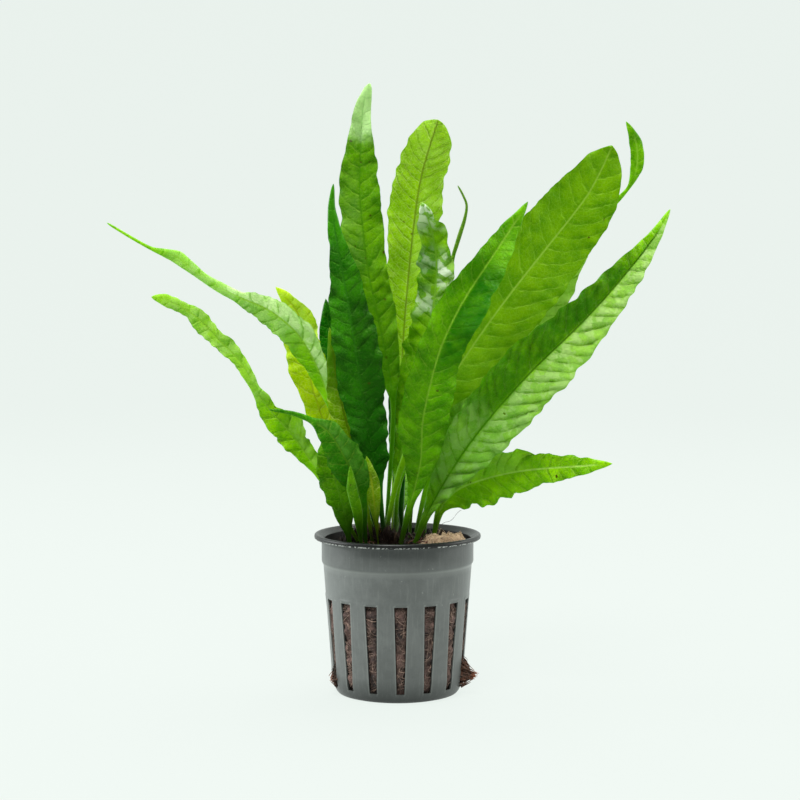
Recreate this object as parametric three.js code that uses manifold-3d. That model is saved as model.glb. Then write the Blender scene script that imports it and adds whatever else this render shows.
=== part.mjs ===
// A strap-leaved aquarium fern in a slotted net pot. The fern creeps over a plug of
// rock wool, and its roots fill the plug and reach out through the slots.
// Millimetres, +Z up. The origin is the centre of the pot's base, and -Y is the front.
import * as THREE from "three";
import { mergeVertices } from "three/addons/utils/BufferGeometryUtils.js";
import Module from "manifold-3d";

const wasm = await Module();
wasm.setup();

// Net pot
const POT_HEIGHT = 52.8;
const RIM_RADIUS = 27.5; // outside of the turned-down lip
const WALL = 0.9;
const LIP_REACH = 2.4; // how far the lip stands out from the band below it
const LIP_HEIGHT = 1.6;
const BAND_HEIGHT = 8.8; // plain band between the lip and the shoulder
const SHOULDER_STEP = 0.6; // loss of radius at the shoulder
const SHOULDER_HEIGHT = 1.6;
const BODY_TAPER = 2.5; // loss of radius from the shoulder down to the corner
const CORNER_REACH = 3; // how far the rounded bottom corner comes in
const CORNER_HEIGHT = 9;
const FLOOR = 1.1;
const POT_SEGMENTS = 90;

// Slots in the wall, and drain slots in the floor
const SLOT_COUNT = 15;
const SLOT_TURN = 2.6; // degrees from the front to the nearest slot, towards +X
const SLOT_DROP = 10.4; // from the shoulder down to the top of the slots
const SLOT_FOOT = 3.3; // height of the slots' lower ends
const SLOT_TOP_WIDTH = 4.3;
const SLOT_FOOT_WIDTH = 2.6;
const DRAIN_COUNT = 8;
const DRAIN_START = 7; // radius of a drain slot's inner end
const DRAIN_END = 14;
const DRAIN_WIDTH = 2;

// Rock wool plug
const WOOL_GAP = 0.5; // clearance to the pot
const WOOL_DEPTH = 5.9; // from the rim down to the wool
const WOOL_SWELL = 0.35; // unevenness of its side
const WOOL_RINGS = 6;
const WOOL_SEGMENTS = 42;
const LUMP_HEIGHT = 4.6; // a torn lump that stands up at the right
const LUMP_RADIUS = 9.5;
const LUMP_PLACE = [16, -1];

// Creeping stem, or rhizome
const RHIZOME_RADIUS = 1.9;
const RHIZOME_LENGTH = 33;
const RHIZOME_SWAY = 3.2; // how far it wanders from a straight line
const RHIZOME_SHIFT = -2; // its middle, along X
const RHIZOME_RINGS = 18;
const TOUCH_GAP = 0.3; // clearance between pieces that rest on each other
const STALK_GAP = 0.9; // clearance between the stalks' feet and the rhizome's top

// Fern
const FERN_HEIGHT = 147.5; // from the foot to the tip of the tallest frond
const DRAWN_HEIGHT = 147.5; // the height for which the fronds below are written
const RIB_THICKNESS = 1.1;
const BLADE_THICKNESS = 0.35;
const FLATTEST = 1.45; // least ratio of a frond's width to its thickness
const RINGS_PER_SPAN = 2;

// Loose roots
const TUFT_REACH = 4.8; // how far the longer tuft stands out of its slot
const TUFT_RADIUS = 0.75;

const BAND_RADIUS = RIM_RADIUS - LIP_REACH;
const BODY_RADIUS = BAND_RADIUS - SHOULDER_STEP;
const CORNER_RADIUS = BODY_RADIUS - BODY_TAPER;
const BASE_RADIUS = CORNER_RADIUS - CORNER_REACH;
const SHOULDER_TOP = POT_HEIGHT - LIP_HEIGHT - BAND_HEIGHT + SHOULDER_HEIGHT;
const SHOULDER_FOOT = SHOULDER_TOP - SHOULDER_HEIGHT;
const SLOT_TOP = SHOULDER_FOOT - SLOT_DROP;
const WOOL_TOP = POT_HEIGHT - WOOL_DEPTH;
const RHIZOME_HEIGHT = WOOL_TOP + TOUCH_GAP + RHIZOME_RADIUS;
const CROWN_HEIGHT = RHIZOME_HEIGHT + RHIZOME_RADIUS;
const FERN_SCALE = FERN_HEIGHT / DRAWN_HEIGHT;

const material = (color, roughness) =>
  new THREE.MeshStandardMaterial({ color, roughness, metalness: 0 });

const PLASTIC = material(0x6b706e, 0.45);
const WOOL = material(0x6a5648, 0.95);
const STEM = material(0x2a2018, 0.9);
const OLD_STALK = material(0x5a3a22, 0.8);
const ROOT = material(0x4a2c20, 0.85);
const LIGHT_LEAF = material(0x6dae08, 0.4);
const MID_LEAF = material(0x4e8a08, 0.4);
const DARK_LEAF = material(0x064a03, 0.42);
const YELLOW_LEAF = material(0x8fb705, 0.42);

// ---------------------------------------------------------------- building blocks

/**
 * Joins rings of points, each with as many points, into a closed skin with flat ends.
 * A sheet's lower side is split along the same lines as its upper side, so that the two
 * never cross where the sheet twists. Its rings start at one edge.
 */
function loft(rings, sheet = false) {
  const sides = rings[0].length;
  const last = (rings.length - 1) * sides;
  const faces = [];
  for (let ring = 0; ring + 1 < rings.length; ring++) {
    for (let side = 0; side < sides; side++) {
      const a = ring * sides + side;
      const b = ring * sides + ((side + 1) % sides);
      if (sheet && side >= sides / 2) {
        faces.push(a, b, a + sides, b, b + sides, a + sides);
      } else {
        faces.push(a, b, b + sides, a, b + sides, a + sides);
      }
    }
  }
  for (let side = 1; side + 1 < sides; side++) {
    faces.push(0, side + 1, side);
    faces.push(last, last + side, last + side + 1);
  }
  const geometry = new THREE.BufferGeometry().setFromPoints(rings.flat());
  geometry.setIndex(faces);
  geometry.computeVertexNormals();
  return geometry;
}

/** Turns a closed geometry into a manifold-3d solid, so that it can be cut or joined. */
function solidFrom(geometry) {
  const bare = geometry.clone();
  bare.deleteAttribute("normal");
  bare.deleteAttribute("uv");
  const merged = mergeVertices(bare, 1e-4);
  const mesh = new wasm.Mesh({
    numProp: 3,
    vertProperties: new Float32Array(merged.attributes.position.array),
    triVerts: new Uint32Array(merged.index.array),
  });
  mesh.merge();
  return new wasm.Manifold(mesh);
}

/** Turns a manifold-3d solid back into a geometry. */
function geometryFrom(solid) {
  const mesh = solid.getMesh();
  const geometry = new THREE.BufferGeometry();
  geometry.setAttribute("position", new THREE.BufferAttribute(mesh.vertProperties, 3));
  geometry.setIndex(new THREE.BufferAttribute(mesh.triVerts, 1));
  geometry.computeVertexNormals();
  return geometry;
}

/** A round tube along points, with one radius for each point. */
function taperedTube(points, radii, sides) {
  const curve = new THREE.CatmullRomCurve3(points);
  const across = new THREE.Vector3(0, 1, 0);
  const rings = radii.map((radius, index) => {
    const share = index / (radii.length - 1);
    const along = curve.getTangentAt(share);
    const right = new THREE.Vector3().crossVectors(along, across).normalize();
    const up = new THREE.Vector3().crossVectors(along, right);
    const centre = curve.getPointAt(share);
    return Array.from({ length: sides }, (_, side) => {
      const turn = (2 * Math.PI * side) / sides;
      return centre
        .clone()
        .addScaledVector(right, radius * Math.cos(turn))
        .addScaledVector(up, radius * Math.sin(turn));
    });
  });
  return loft(rings);
}

/** A named piece of the object. */
function piece(name, geometry, finish) {
  const mesh = new THREE.Mesh(geometry, finish);
  mesh.name = name;
  return mesh;
}

// ---------------------------------------------------------------- net pot

/** The pot's outside from the corner up to the lip, as [radius, height] points. */
function outerWall() {
  const corner = [];
  for (let step = 0; step <= 5; step++) {
    const turn = (step / 5) * (Math.PI / 2);
    corner.push([
      BASE_RADIUS + CORNER_REACH * Math.sin(turn),
      CORNER_HEIGHT * (1 - Math.cos(turn)),
    ]);
  }
  return [...corner, [BODY_RADIUS, SHOULDER_FOOT], [BAND_RADIUS, SHOULDER_TOP]];
}

/** The wall with its floor, shoulder and lip, before the slots are cut. */
function potShell() {
  const lipFoot = POT_HEIGHT - LIP_HEIGHT;
  const outside = [
    ...outerWall(),
    [BAND_RADIUS, lipFoot + WALL / 2],
    [RIM_RADIUS - WALL / 2, lipFoot],
    [RIM_RADIUS, lipFoot + LIP_HEIGHT / 3],
    [RIM_RADIUS, POT_HEIGHT - LIP_HEIGHT / 3],
    [RIM_RADIUS - WALL / 2, POT_HEIGHT],
  ];
  const inside = [
    [RIM_RADIUS - WALL - WALL / 4, POT_HEIGHT],
    [BAND_RADIUS - WALL, lipFoot],
    ...outerWall()
      .filter(([, height]) => height > FLOOR)
      .reverse()
      .map(([radius, height]) => [radius - WALL, height]),
    [BASE_RADIUS - WALL / 2, FLOOR],
  ];
  const profile = [[0, 0], ...outside, ...inside, [0, FLOOR]];
  const points = profile.map(([radius, height]) => new THREE.Vector2(radius, height));
  return new THREE.LatheGeometry(points, POT_SEGMENTS).rotateX(Math.PI / 2);
}

/** One tapered slot cutter that points outwards through the wall at the front. */
function slotCutter() {
  const outline = new THREE.Shape([
    new THREE.Vector2(-SLOT_FOOT_WIDTH / 2, SLOT_FOOT),
    new THREE.Vector2(SLOT_FOOT_WIDTH / 2, SLOT_FOOT),
    new THREE.Vector2(SLOT_TOP_WIDTH / 2, SLOT_TOP),
    new THREE.Vector2(-SLOT_TOP_WIDTH / 2, SLOT_TOP),
  ]);
  const inner = BASE_RADIUS / 2;
  const depth = RIM_RADIUS - inner;
  const cutter = new THREE.ExtrudeGeometry(outline, { depth, bevelEnabled: false });
  return cutter.rotateX(Math.PI / 2).translate(0, -inner, 0);
}

/** One drain slot cutter that lies along the radius at the front. */
function drainCutter() {
  const length = DRAIN_END - DRAIN_START;
  const cutter = new THREE.BoxGeometry(DRAIN_WIDTH, length, 4 * FLOOR);
  return cutter.translate(0, -(DRAIN_START + DRAIN_END) / 2, 0);
}

/** Where wall slot number index lies, in radians from the front towards +X. */
function slotAngle(index) {
  return THREE.MathUtils.degToRad(SLOT_TURN) + (2 * Math.PI * index) / SLOT_COUNT;
}

function netPot() {
  let pot = solidFrom(potShell());
  for (let index = 0; index < SLOT_COUNT; index++) {
    pot = pot.subtract(solidFrom(slotCutter().rotateZ(slotAngle(index))));
  }
  for (let index = 0; index < DRAIN_COUNT; index++) {
    const turn = (2 * Math.PI * index) / DRAIN_COUNT;
    pot = pot.subtract(solidFrom(drainCutter().rotateZ(turn)));
  }
  return piece("net_pot", geometryFrom(pot), PLASTIC);
}

// ---------------------------------------------------------------- rock wool

/** The radius of the pot's inside at a height. */
function innerRadius(height) {
  const wall = outerWall();
  const above = wall.findIndex(([, wallHeight]) => wallHeight >= height);
  if (above < 0) return BAND_RADIUS - WALL;
  if (above === 0) return BASE_RADIUS - WALL;
  const [lowRadius, low] = wall[above - 1];
  const [highRadius, high] = wall[above];
  const share = (height - low) / (high - low);
  return lowRadius + (highRadius - lowRadius) * share - WALL;
}

/** How far the wool stands above its plain top at a place. */
function lumpHeight(x, y) {
  const away = Math.hypot(x - LUMP_PLACE[0], y - LUMP_PLACE[1]) / LUMP_RADIUS;
  return away < 1 ? LUMP_HEIGHT * Math.min(1, 2.2 * (1 - away)) : 0;
}

/** A ring of points around the plug, a share of the way out to the pot's wall. */
function woolRing(height, share, lumpy) {
  return Array.from({ length: WOOL_SEGMENTS }, (_, index) => {
    const turn = (2 * Math.PI * index) / WOOL_SEGMENTS;
    const swell = WOOL_SWELL * (0.5 + 0.5 * Math.sin(3 * turn + height / 4));
    const radius = share * (innerRadius(height) - WOOL_GAP - swell);
    const x = radius * Math.cos(turn);
    const y = radius * Math.sin(turn);
    return new THREE.Vector3(x, y, height + (lumpy ? lumpHeight(x, y) : 0));
  });
}

function woolPlug() {
  const foot = FLOOR + WOOL_GAP;
  const rings = [woolRing(foot, 0.9, false)];
  for (let index = 1; index <= WOOL_RINGS; index++) {
    const height = foot + 1 + ((WOOL_TOP - 1 - foot - 1) * index) / WOOL_RINGS;
    rings.push(woolRing(height, 1, false));
  }
  for (const share of [0.96, 0.75, 0.5, 0.25]) {
    rings.push(woolRing(WOOL_TOP, share, true));
  }
  const bed = solidFrom(rhizomeTube(TOUCH_GAP));
  return piece("rock_wool", geometryFrom(solidFrom(loft(rings)).subtract(bed)), WOOL);
}

// ---------------------------------------------------------------- rhizome and roots

/** The creeping stem, made thicker all round by an allowance. */
function rhizomeTube(allowance) {
  const points = [];
  const radii = [];
  for (let ring = 0; ring <= RHIZOME_RINGS; ring++) {
    const share = ring / RHIZOME_RINGS;
    const x = RHIZOME_SHIFT + RHIZOME_LENGTH * (share - 0.5);
    const y = RHIZOME_SWAY * Math.sin(3 * Math.PI * share);
    const rounding = Math.sqrt(Math.max(0.06, 1 - (2 * share - 1) ** 8));
    points.push(new THREE.Vector3(x, y, RHIZOME_HEIGHT));
    radii.push(RHIZOME_RADIUS * rounding * (0.9 + 0.1 * Math.cos(9 * share)) + allowance);
  }
  const overrun = new THREE.Vector3(allowance, 0, 0);
  points[0].sub(overrun);
  points[RHIZOME_RINGS].add(overrun);
  return taperedTube(points, radii, 10);
}

function rhizome() {
  return piece("rhizome", rhizomeTube(0), STEM);
}

/** A place on a frond or stalk, which grows away from its foot with the fern's size. */
function grown([x, y, z], [footX, footY, footZ]) {
  return new THREE.Vector3(
    footX + (x - footX) * FERN_SCALE,
    footY + (y - footY) * FERN_SCALE,
    CROWN_HEIGHT + STALK_GAP + (z - footZ) * FERN_SCALE,
  );
}

/** A round stalk through hand-placed points. */
function stalk(name, finish, { path, radii }) {
  const points = path.map((place) => grown(place, path[0]));
  return piece(name, taperedTube(points, radii, 6), finish);
}

/** A bundle of roots that leaves the wool through a wall slot and points outwards. */
function rootTuft(name, slotIndex, height, reach, droop) {
  const turn = slotAngle(slotIndex);
  const start = innerRadius(height) - WOOL_GAP + TOUCH_GAP;
  const end = innerRadius(height) + WALL + reach;
  const outward = (radius, z) =>
    new THREE.Vector3(radius * Math.sin(turn), -radius * Math.cos(turn), z);
  const points = [
    outward(start, height),
    outward(start + (end - start) * 0.4, height - droop * 0.15),
    outward(start + (end - start) * 0.75, height - droop * 0.5),
    outward(end, height - droop),
  ];
  const radii = [0.9, 1, 1, 0.85, 0.5].map((share) => TUFT_RADIUS * share);
  return piece(name, taperedTube(points, radii, 8), ROOT);
}

// ---------------------------------------------------------------- fronds

/**
 * One frond: a stalk that widens into a folded strap and tapers to a tip.
 * Its path is a list of [x, y, height above the foot, width]. The blade faces the front,
 * turned about its own length by roll, [degrees at foot, degrees at tip]. Fold lifts
 * both margins, in degrees, and ripple is [height, length] of the margin's waves.
 */
function frond(name, finish, { path, roll, fold, ripple }) {
  const places = path.map((place) => grown(place, path[0]));
  const spine = new THREE.CatmullRomCurve3(places, false, "centripetal");
  const spans = path.length - 1;
  const rings = [];
  for (let step = 0; step <= spans * RINGS_PER_SPAN; step++) {
    const place = step / RINGS_PER_SPAN;
    const share = place / spans;
    const before = path[Math.floor(place)];
    const after = path[Math.ceil(place)];
    const width = ((before[3] + after[3]) / 2) * FERN_SCALE;
    const turn = roll[0] + (roll[1] - roll[0]) * share;
    rings.push(frondRing(spine, share, width, turn, fold, ripple));
  }
  return piece(name, loft(rings, true), finish);
}

/** The eight points round a frond at a share of its length, from the left edge. */
function frondRing(spine, share, width, turn, fold, [waveHeight, waveLength]) {
  const half = width / 2;
  const along = spine.getTangent(share);
  const face = new THREE.Vector3(0, -1, 0);
  face.addScaledVector(along, -face.dot(along)).normalize();
  face.applyAxisAngle(along, THREE.MathUtils.degToRad(turn));
  const right = new THREE.Vector3().crossVectors(along, face);
  const rib = Math.min(RIB_THICKNESS, width / FLATTEST);
  const flatness = THREE.MathUtils.clamp((half - 1) / 3, 0, 1);
  const lift = Math.tan(THREE.MathUtils.degToRad(fold)) * half * flatness;
  const phase = (2 * Math.PI * share * spine.getLength()) / waveLength;
  const wave = waveHeight * flatness;
  const leftLift = lift + wave * Math.sin(phase);
  const rightLift = lift + wave * Math.sin(phase + 2);
  const cheek = THREE.MathUtils.lerp(rib * 0.43, Math.min(BLADE_THICKNESS / 2, rib / 3), flatness);
  const centre = spine.getPoint(share);
  const at = (across, out) =>
    centre.clone().addScaledVector(right, across).addScaledVector(face, out);
  return [
    at(-half, leftLift),
    at(-half / 2, leftLift / 2 + cheek),
    at(0, rib / 4 + (rib / 4) * (1 - flatness)),
    at(half / 2, rightLift / 2 + cheek),
    at(half, rightLift),
    at(half / 2, rightLift / 2 - cheek),
    at(0, -rib / 2),
    at(-half / 2, leftLift / 2 - cheek),
  ];
}

const FRONDS = [
  ["tall_frond", MID_LEAF, {
    path: [
      [-4, 2, 0, 1.8], [-2.5, 5, 21, 1.8], [-1.5, 7, 43.5, 2], [-3.5, 7, 57.5, 9],
      [-6.5, 7, 71.5, 12.5], [-9.5, 6, 86, 13.2], [-11.5, 5, 101.5, 14], [-12.5, 3, 115.5, 13.5],
      [-12, 0, 126.5, 10], [-11, -4, 140, 5.4], [-9, -6, 147.5, 2],
    ],
    roll: [0, -14], fold: 8, ripple: [0.7, 26],
  }],
  ["dark_frond", DARK_LEAF, {
    path: [
      [-4.5, -3, 0, 1.8], [-6, -4, 15, 3], [-8, -7, 27.5, 9.5], [-10, -10, 39, 13],
      [-12.5, -13, 54.5, 15], [-14.5, -15, 68.5, 14.6], [-16.5, -16, 81.5, 11.5],
      [-19, -16, 95, 6], [-21, -14, 107, 2.6], [-20.5, -13, 115, 0.8],
    ],
    roll: [10, 16], fold: 9, ripple: [0.6, 30],
  }],
  ["blunt_frond", LIGHT_LEAF, {
    path: [
      [-1.5, 7, 0, 1.8], [-1, 17, 25.5, 1.8], [1, 21, 52, 2], [2, 23, 65.5, 9],
      [3, 23.5, 79, 12], [4.5, 23, 94.5, 15.5], [6, 22, 107.5, 18], [8, 20, 119.5, 17],
      [11, 17, 130, 15.5], [13.5, 14, 137.5, 5],
    ],
    roll: [0, 12], fold: -8, ripple: [0.8, 24],
  }],
  ["centre_frond", LIGHT_LEAF, {
    path: [
      [-1, 3, 0, 1.8], [0, 6, 14.5, 2.4], [2, 10, 32, 10], [5.5, 12, 47.5, 13],
      [10, 13, 62.5, 14], [12, 13, 76, 13], [13, 11, 90, 11.5], [11, 7, 101.5, 8.5],
      [8, 2, 109.5, 2],
    ],
    roll: [0, -14], fold: 10, ripple: [0.8, 22],
  }],
  ["whip_frond", MID_LEAF, {
    path: [
      [4, 4, 0, 1.6], [6, 10, 27.5, 3], [11, 15, 54, 6], [15.5, 17, 74, 3.4],
      [18.5, 16, 91.5, 1.4], [21, 14, 100, 1.5], [23, 12, 109, 0.9], [20, 10, 115.5, 0.7],
    ],
    roll: [0, 30], fold: 6, ripple: [0.3, 18],
  }],
  ["front_frond", LIGHT_LEAF, {
    path: [
      [1.5, -5, 0, 2.4], [4.5, -8, 12.5, 3.6], [7.5, -12, 26, 11], [8, -15, 38, 16],
      [10.5, -18, 51, 15.5], [14, -19, 63.5, 14.5], [20.5, -18, 77, 13.5],
      [28, -15, 88.5, 11], [35.5, -11, 99.5, 6.5], [42, -8, 109.5, 0.8],
    ],
    roll: [-6, 16], fold: 12, ripple: [0.7, 28],
  }],
  ["broad_frond", LIGHT_LEAF, {
    path: [
      [-4, -1, 0, 2.2], [-1, -1, 15, 2.5], [3.5, 0, 28.5, 3], [10.5, 2, 41, 7],
      [19.5, 5, 54.5, 20], [30, 9, 69.5, 26], [41, 12, 84, 27], [53.5, 15, 99.5, 25.5],
      [63.5, 16, 112.5, 21.5], [69, 15, 123, 14], [71.5, 14, 129, 2.6],
    ],
    roll: [0, 10], fold: 6, ripple: [0.6, 32],
  }],
  ["lobed_frond", MID_LEAF, {
    path: [
      [6, 3, 0, 1.8], [11.5, 9, 21, 3], [24.5, 17, 45, 10], [40, 23, 61.5, 13.5],
      [51.5, 26, 75, 11.5], [58.5, 28, 87.5, 8.5], [65, 28, 99, 4], [72, 27, 108.5, 2.2],
      [78.5, 26, 115.5, 1.3], [81, 24, 123, 4.6], [80.5, 23, 130.5, 4.6], [77, 21, 137.5, 0.8],
    ],
    roll: [0, 12], fold: 8, ripple: [0.5, 20],
  }],
  ["crinkled_frond", LIGHT_LEAF, {
    path: [
      [6.5, -4, 0, 2.4], [10, -4.5, 8.5, 4.5], [17, -7.5, 21.5, 13], [25.5, -12, 34.5, 18.5],
      [35, -16, 46.5, 21], [45.5, -18, 58, 20.5], [56, -18, 68, 17], [66, -17, 78.5, 13],
      [75.5, -15, 89.5, 8.5], [82.5, -13, 98.5, 4.2], [87.5, -11, 107, 0.8],
    ],
    roll: [0, 4], fold: 20, ripple: [0.9, 18],
  }],
  ["low_right_frond", LIGHT_LEAF, {
    path: [
      [12, -1, 0, 1.8], [14, -1, 8.5, 4], [19, -3, 15, 13], [27.5, -5, 19, 16.5],
      [38.5, -8, 22, 14], [48.5, -11, 23.5, 9.6], [59, -14, 24.5, 6.2], [69, -16, 25.5, 0.8],
    ],
    roll: [0, -8], fold: 7, ripple: [1, 16],
  }],
  ["long_left_frond", LIGHT_LEAF, {
    path: [
      [-7.5, 1.5, 0, 1.8], [-15, 0, 22, 1.8], [-21.5, -4, 42.5, 2.4], [-26, -6, 55.5, 7],
      [-32.5, -9, 67, 10.8], [-42, -13, 75, 9.5], [-51, -15, 79, 4], [-61.5, -17, 85, 2.9],
      [-70, -18, 91.5, 4.2], [-78.5, -18, 94.5, 1.2], [-92.5, -16, 102.5, 0.7],
    ],
    roll: [0, 12], fold: -10, ripple: [0.5, 20],
  }],
  ["low_left_frond", LIGHT_LEAF, {
    path: [
      [-14, -1, 0, 1.7], [-21, -4, 13, 1.8], [-27, -7, 23.5, 3.5], [-34, -10, 34, 11],
      [-40.5, -14, 42, 7], [-45.5, -16, 49.5, 3], [-49.5, -18, 57.5, 4.4],
      [-56, -19, 64.5, 5.8], [-65, -20, 73.5, 4.8], [-73.5, -20, 78, 3.8], [-78, -20, 79, 1.6],
    ],
    roll: [0, 8], fold: 9, ripple: [0.6, 16],
  }],
  ["yellow_frond", YELLOW_LEAF, {
    path: [
      [-10.5, 3, 0, 1.7], [-17, 4, 18, 1.8], [-24, 5, 36, 7], [-28.5, 6, 49.5, 11],
      [-31, 6, 62.5, 12.5], [-33, 4, 73.5, 8.5], [-40, 1, 82, 0.8],
    ],
    roll: [0, -8], fold: 8, ripple: [0.9, 15],
  }],
  ["shaded_frond", DARK_LEAF, {
    path: [
      [-7, 5, 0, 1.6], [-12, 8, 19.5, 1.8], [-18, 12, 40, 7.5], [-21, 14, 56, 9],
      [-23, 14, 67.5, 7], [-24, 12, 78, 0.8],
    ],
    roll: [0, 8], fold: 7, ripple: [0.4, 20],
  }],
  ["strip_frond", YELLOW_LEAF, {
    path: [
      [-8.5, -3, 0, 1.6], [-11.5, -5, 17.5, 2], [-15, -7, 32, 7], [-18, -8, 43.5, 9.5],
      [-20, -9, 55, 6], [-22, -9, 69, 0.8],
    ],
    roll: [0, 6], fold: 7, ripple: [0.5, 18],
  }],
  ["grey_frond", MID_LEAF, {
    path: [
      [-10.5, -6, 0, 1.8], [-12, -11, 14.5, 4.5], [-14.5, -17, 22.5, 11], [-18, -21, 30, 11.5],
      [-22, -24, 36.5, 7.5], [-27, -25, 40, 2.2], [-33.5, -25, 42.5, 1.3], [-40.5, -25, 43.5, 0.8],
    ],
    roll: [0, -6], fold: 8, ripple: [0.6, 16],
  }],
  ["frilled_frond", MID_LEAF, {
    path: [
      [-16, -5, 0, 2.4], [-17.5, -8, 9, 6.5], [-20, -10.5, 18.5, 10.5], [-22, -12, 27, 8.5],
      [-23.5, -12, 35, 0.8],
    ],
    roll: [0, -6], fold: 8, ripple: [1, 12],
  }],
  ["slip_frond", MID_LEAF, {
    path: [
      [-12, -9, 0, 1.8], [-13, -14.5, 10, 3.4], [-14.5, -20, 18, 3.6], [-15, -23.5, 25.5, 0.8],
    ],
    roll: [0, 10], fold: 6, ripple: [0.2, 12],
  }],
  ["gold_frond", YELLOW_LEAF, {
    path: [[-6.5, -6, 0, 1.5], [-7.5, -8, 11, 4.2], [-8.5, -10.5, 19.5, 5], [-10, -12, 27.5, 0.8]],
    roll: [0, 8], fold: 8, ripple: [0.3, 12],
  }],
  ["inner_frond", DARK_LEAF, {
    path: [
      [1.5, 7.5, 0, 1.6], [0.5, 11, 17, 4], [0, 13.5, 32, 6], [-0.5, 15, 44, 5],
      [-1.5, 16, 53.5, 0.8],
    ],
    roll: [0, 6], fold: 8, ripple: [0.4, 14],
  }],
  ["back_right_frond", MID_LEAF, {
    path: [
      [9, 8, 0, 1.8], [11, 15, 16.5, 3], [18, 24, 34.5, 9], [28.5, 32, 51.5, 12.5],
      [39, 38, 68.5, 12], [48.5, 42, 84, 8], [54, 44, 94, 0.8],
    ],
    roll: [0, 20], fold: 9, ripple: [0.6, 20],
  }],
  ["back_left_frond", MID_LEAF, {
    path: [
      [-4, 8, 0, 1.8], [-7.5, 15, 17, 2.5], [-10.5, 22, 36.5, 8], [-12, 29, 57, 11],
      [-13, 34, 77, 10.5], [-12.5, 38, 94.5, 7], [-12, 40, 106.5, 0.8],
    ],
    roll: [0, -18], fold: 9, ripple: [0.6, 22],
  }],
  ["back_low_frond", LIGHT_LEAF, {
    path: [
      [-0.5, 11, 0, 1.8], [0.5, 19, 8, 5], [2.5, 30, 16, 10], [5, 40, 21, 9], [7.5, 49, 23, 0.8],
    ],
    roll: [0, 0], fold: 9, ripple: [0.7, 16],
  }],
  ["back_short_frond", LIGHT_LEAF, {
    path: [
      [-9, 9, 0, 1.8], [-11.5, 18, 8, 4], [-15.5, 27, 16, 9], [-18, 36, 23, 8], [-20, 43, 28, 0.8],
    ],
    roll: [0, 0], fold: 8, ripple: [0.6, 14],
  }],
];

// ---------------------------------------------------------------- the whole object

const group = new THREE.Group();
group.add(netPot(), woolPlug(), rhizome());
for (const [name, finish, shape] of FRONDS) group.add(frond(name, finish, shape));
group.add(
  stalk("old_stalk", OLD_STALK, {
    path: [[-10, -0.4, 0], [-9.9, -0.6, 4], [-9.5, -1, 9]],
    radii: [1, 0.8, 0.75],
  }),
  stalk("bare_stalk", YELLOW_LEAF, {
    path: [[-6, -2, 0], [-6.3, -2.4, 4], [-6.8, -3.2, 7.5]],
    radii: [0.5, 0.45, 0.35],
  }),
  rootTuft("root_tuft_right", 3, 8.2, TUFT_REACH, 1.6),
  rootTuft("root_tuft_left", -3, 7, TUFT_REACH / 3, 1.6),
);

export default group;
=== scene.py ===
"""Looks of a strap-leaved aquarium fern growing in a slotted net pot.

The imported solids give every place: each frond is grown again around its solid's own
course, and the pot, the wool and the roots take their sizes from the solids' boxes.
Metres, +Z up, and -Y is the front. Sizes in the dataclasses are in millimetres.
"""

from __future__ import annotations

import logging
import math
from dataclasses import dataclass, field, replace
from enum import Enum
from typing import Callable, Sequence

import bmesh
import bpy
import numpy as np
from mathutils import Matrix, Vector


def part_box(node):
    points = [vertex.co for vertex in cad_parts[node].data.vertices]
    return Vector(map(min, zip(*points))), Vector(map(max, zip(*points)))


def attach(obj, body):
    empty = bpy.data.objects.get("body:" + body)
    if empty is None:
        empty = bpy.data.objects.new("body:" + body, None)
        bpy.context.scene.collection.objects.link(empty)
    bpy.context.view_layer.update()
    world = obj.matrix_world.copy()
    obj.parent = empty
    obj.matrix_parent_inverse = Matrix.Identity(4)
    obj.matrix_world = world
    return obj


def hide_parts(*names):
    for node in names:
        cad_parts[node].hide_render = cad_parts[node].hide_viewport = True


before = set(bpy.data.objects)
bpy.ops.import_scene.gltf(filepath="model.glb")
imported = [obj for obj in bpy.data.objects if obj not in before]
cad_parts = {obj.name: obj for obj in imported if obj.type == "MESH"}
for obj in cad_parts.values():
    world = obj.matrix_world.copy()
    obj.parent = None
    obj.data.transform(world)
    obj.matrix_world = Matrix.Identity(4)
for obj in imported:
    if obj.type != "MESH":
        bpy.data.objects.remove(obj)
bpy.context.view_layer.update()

LOG = logging.getLogger("fern")
BODY = "root"
Socket = bpy.types.NodeSocket
Tree = bpy.types.NodeTree
Array = np.ndarray
MM = 0.001
WELD = 2e-6
CRISP_ANGLE = 60.0
BOX_FACES = ((0, 1, 2, 3), (7, 6, 5, 4), (0, 4, 5, 1), (1, 5, 6, 2), (2, 6, 7, 3), (3, 7, 4, 0))


# ------------------------------------------------------------------ numbers


def ease(low: float, high: float, value: Array) -> Array:
    """A smooth step from 0 at low to 1 at high.

    Args:
        low: where the step starts.
        high: where it ends.
        value: the numbers to step.

    Returns:
        A number from 0 to 1 for each value.
    """
    share = np.clip((value - low) / (high - low), 0.0, 1.0)
    return share * share * (3.0 - 2.0 * share)


@dataclass(frozen=True)
class Wander:
    """A smooth random field, made of a few slanting waves.

    Attributes:
        seed: which field.
        length: the usual length of its waves.
        waves: how many are added.
    """

    seed: int
    length: float
    waves: int = 9

    def at(self, *places: Array) -> Array:
        """The field at some places.

        Args:
            places: one array for each coordinate.

        Returns:
            Numbers that mostly lie between -1 and 1.
        """
        draw = np.random.RandomState(self.seed)
        total = np.zeros(np.broadcast(*places).shape)
        for _ in range(self.waves):
            heading = draw.normal(size=len(places))
            heading /= np.linalg.norm(heading)
            stretch = 2 * math.pi / (self.length * draw.uniform(0.6, 1.7))
            phase = draw.uniform(0, 2 * math.pi)
            spot = sum(h * p for h, p in zip(heading, places))
            total = total + np.sin(stretch * spot + phase)
        return total / math.sqrt(self.waves)


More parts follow.
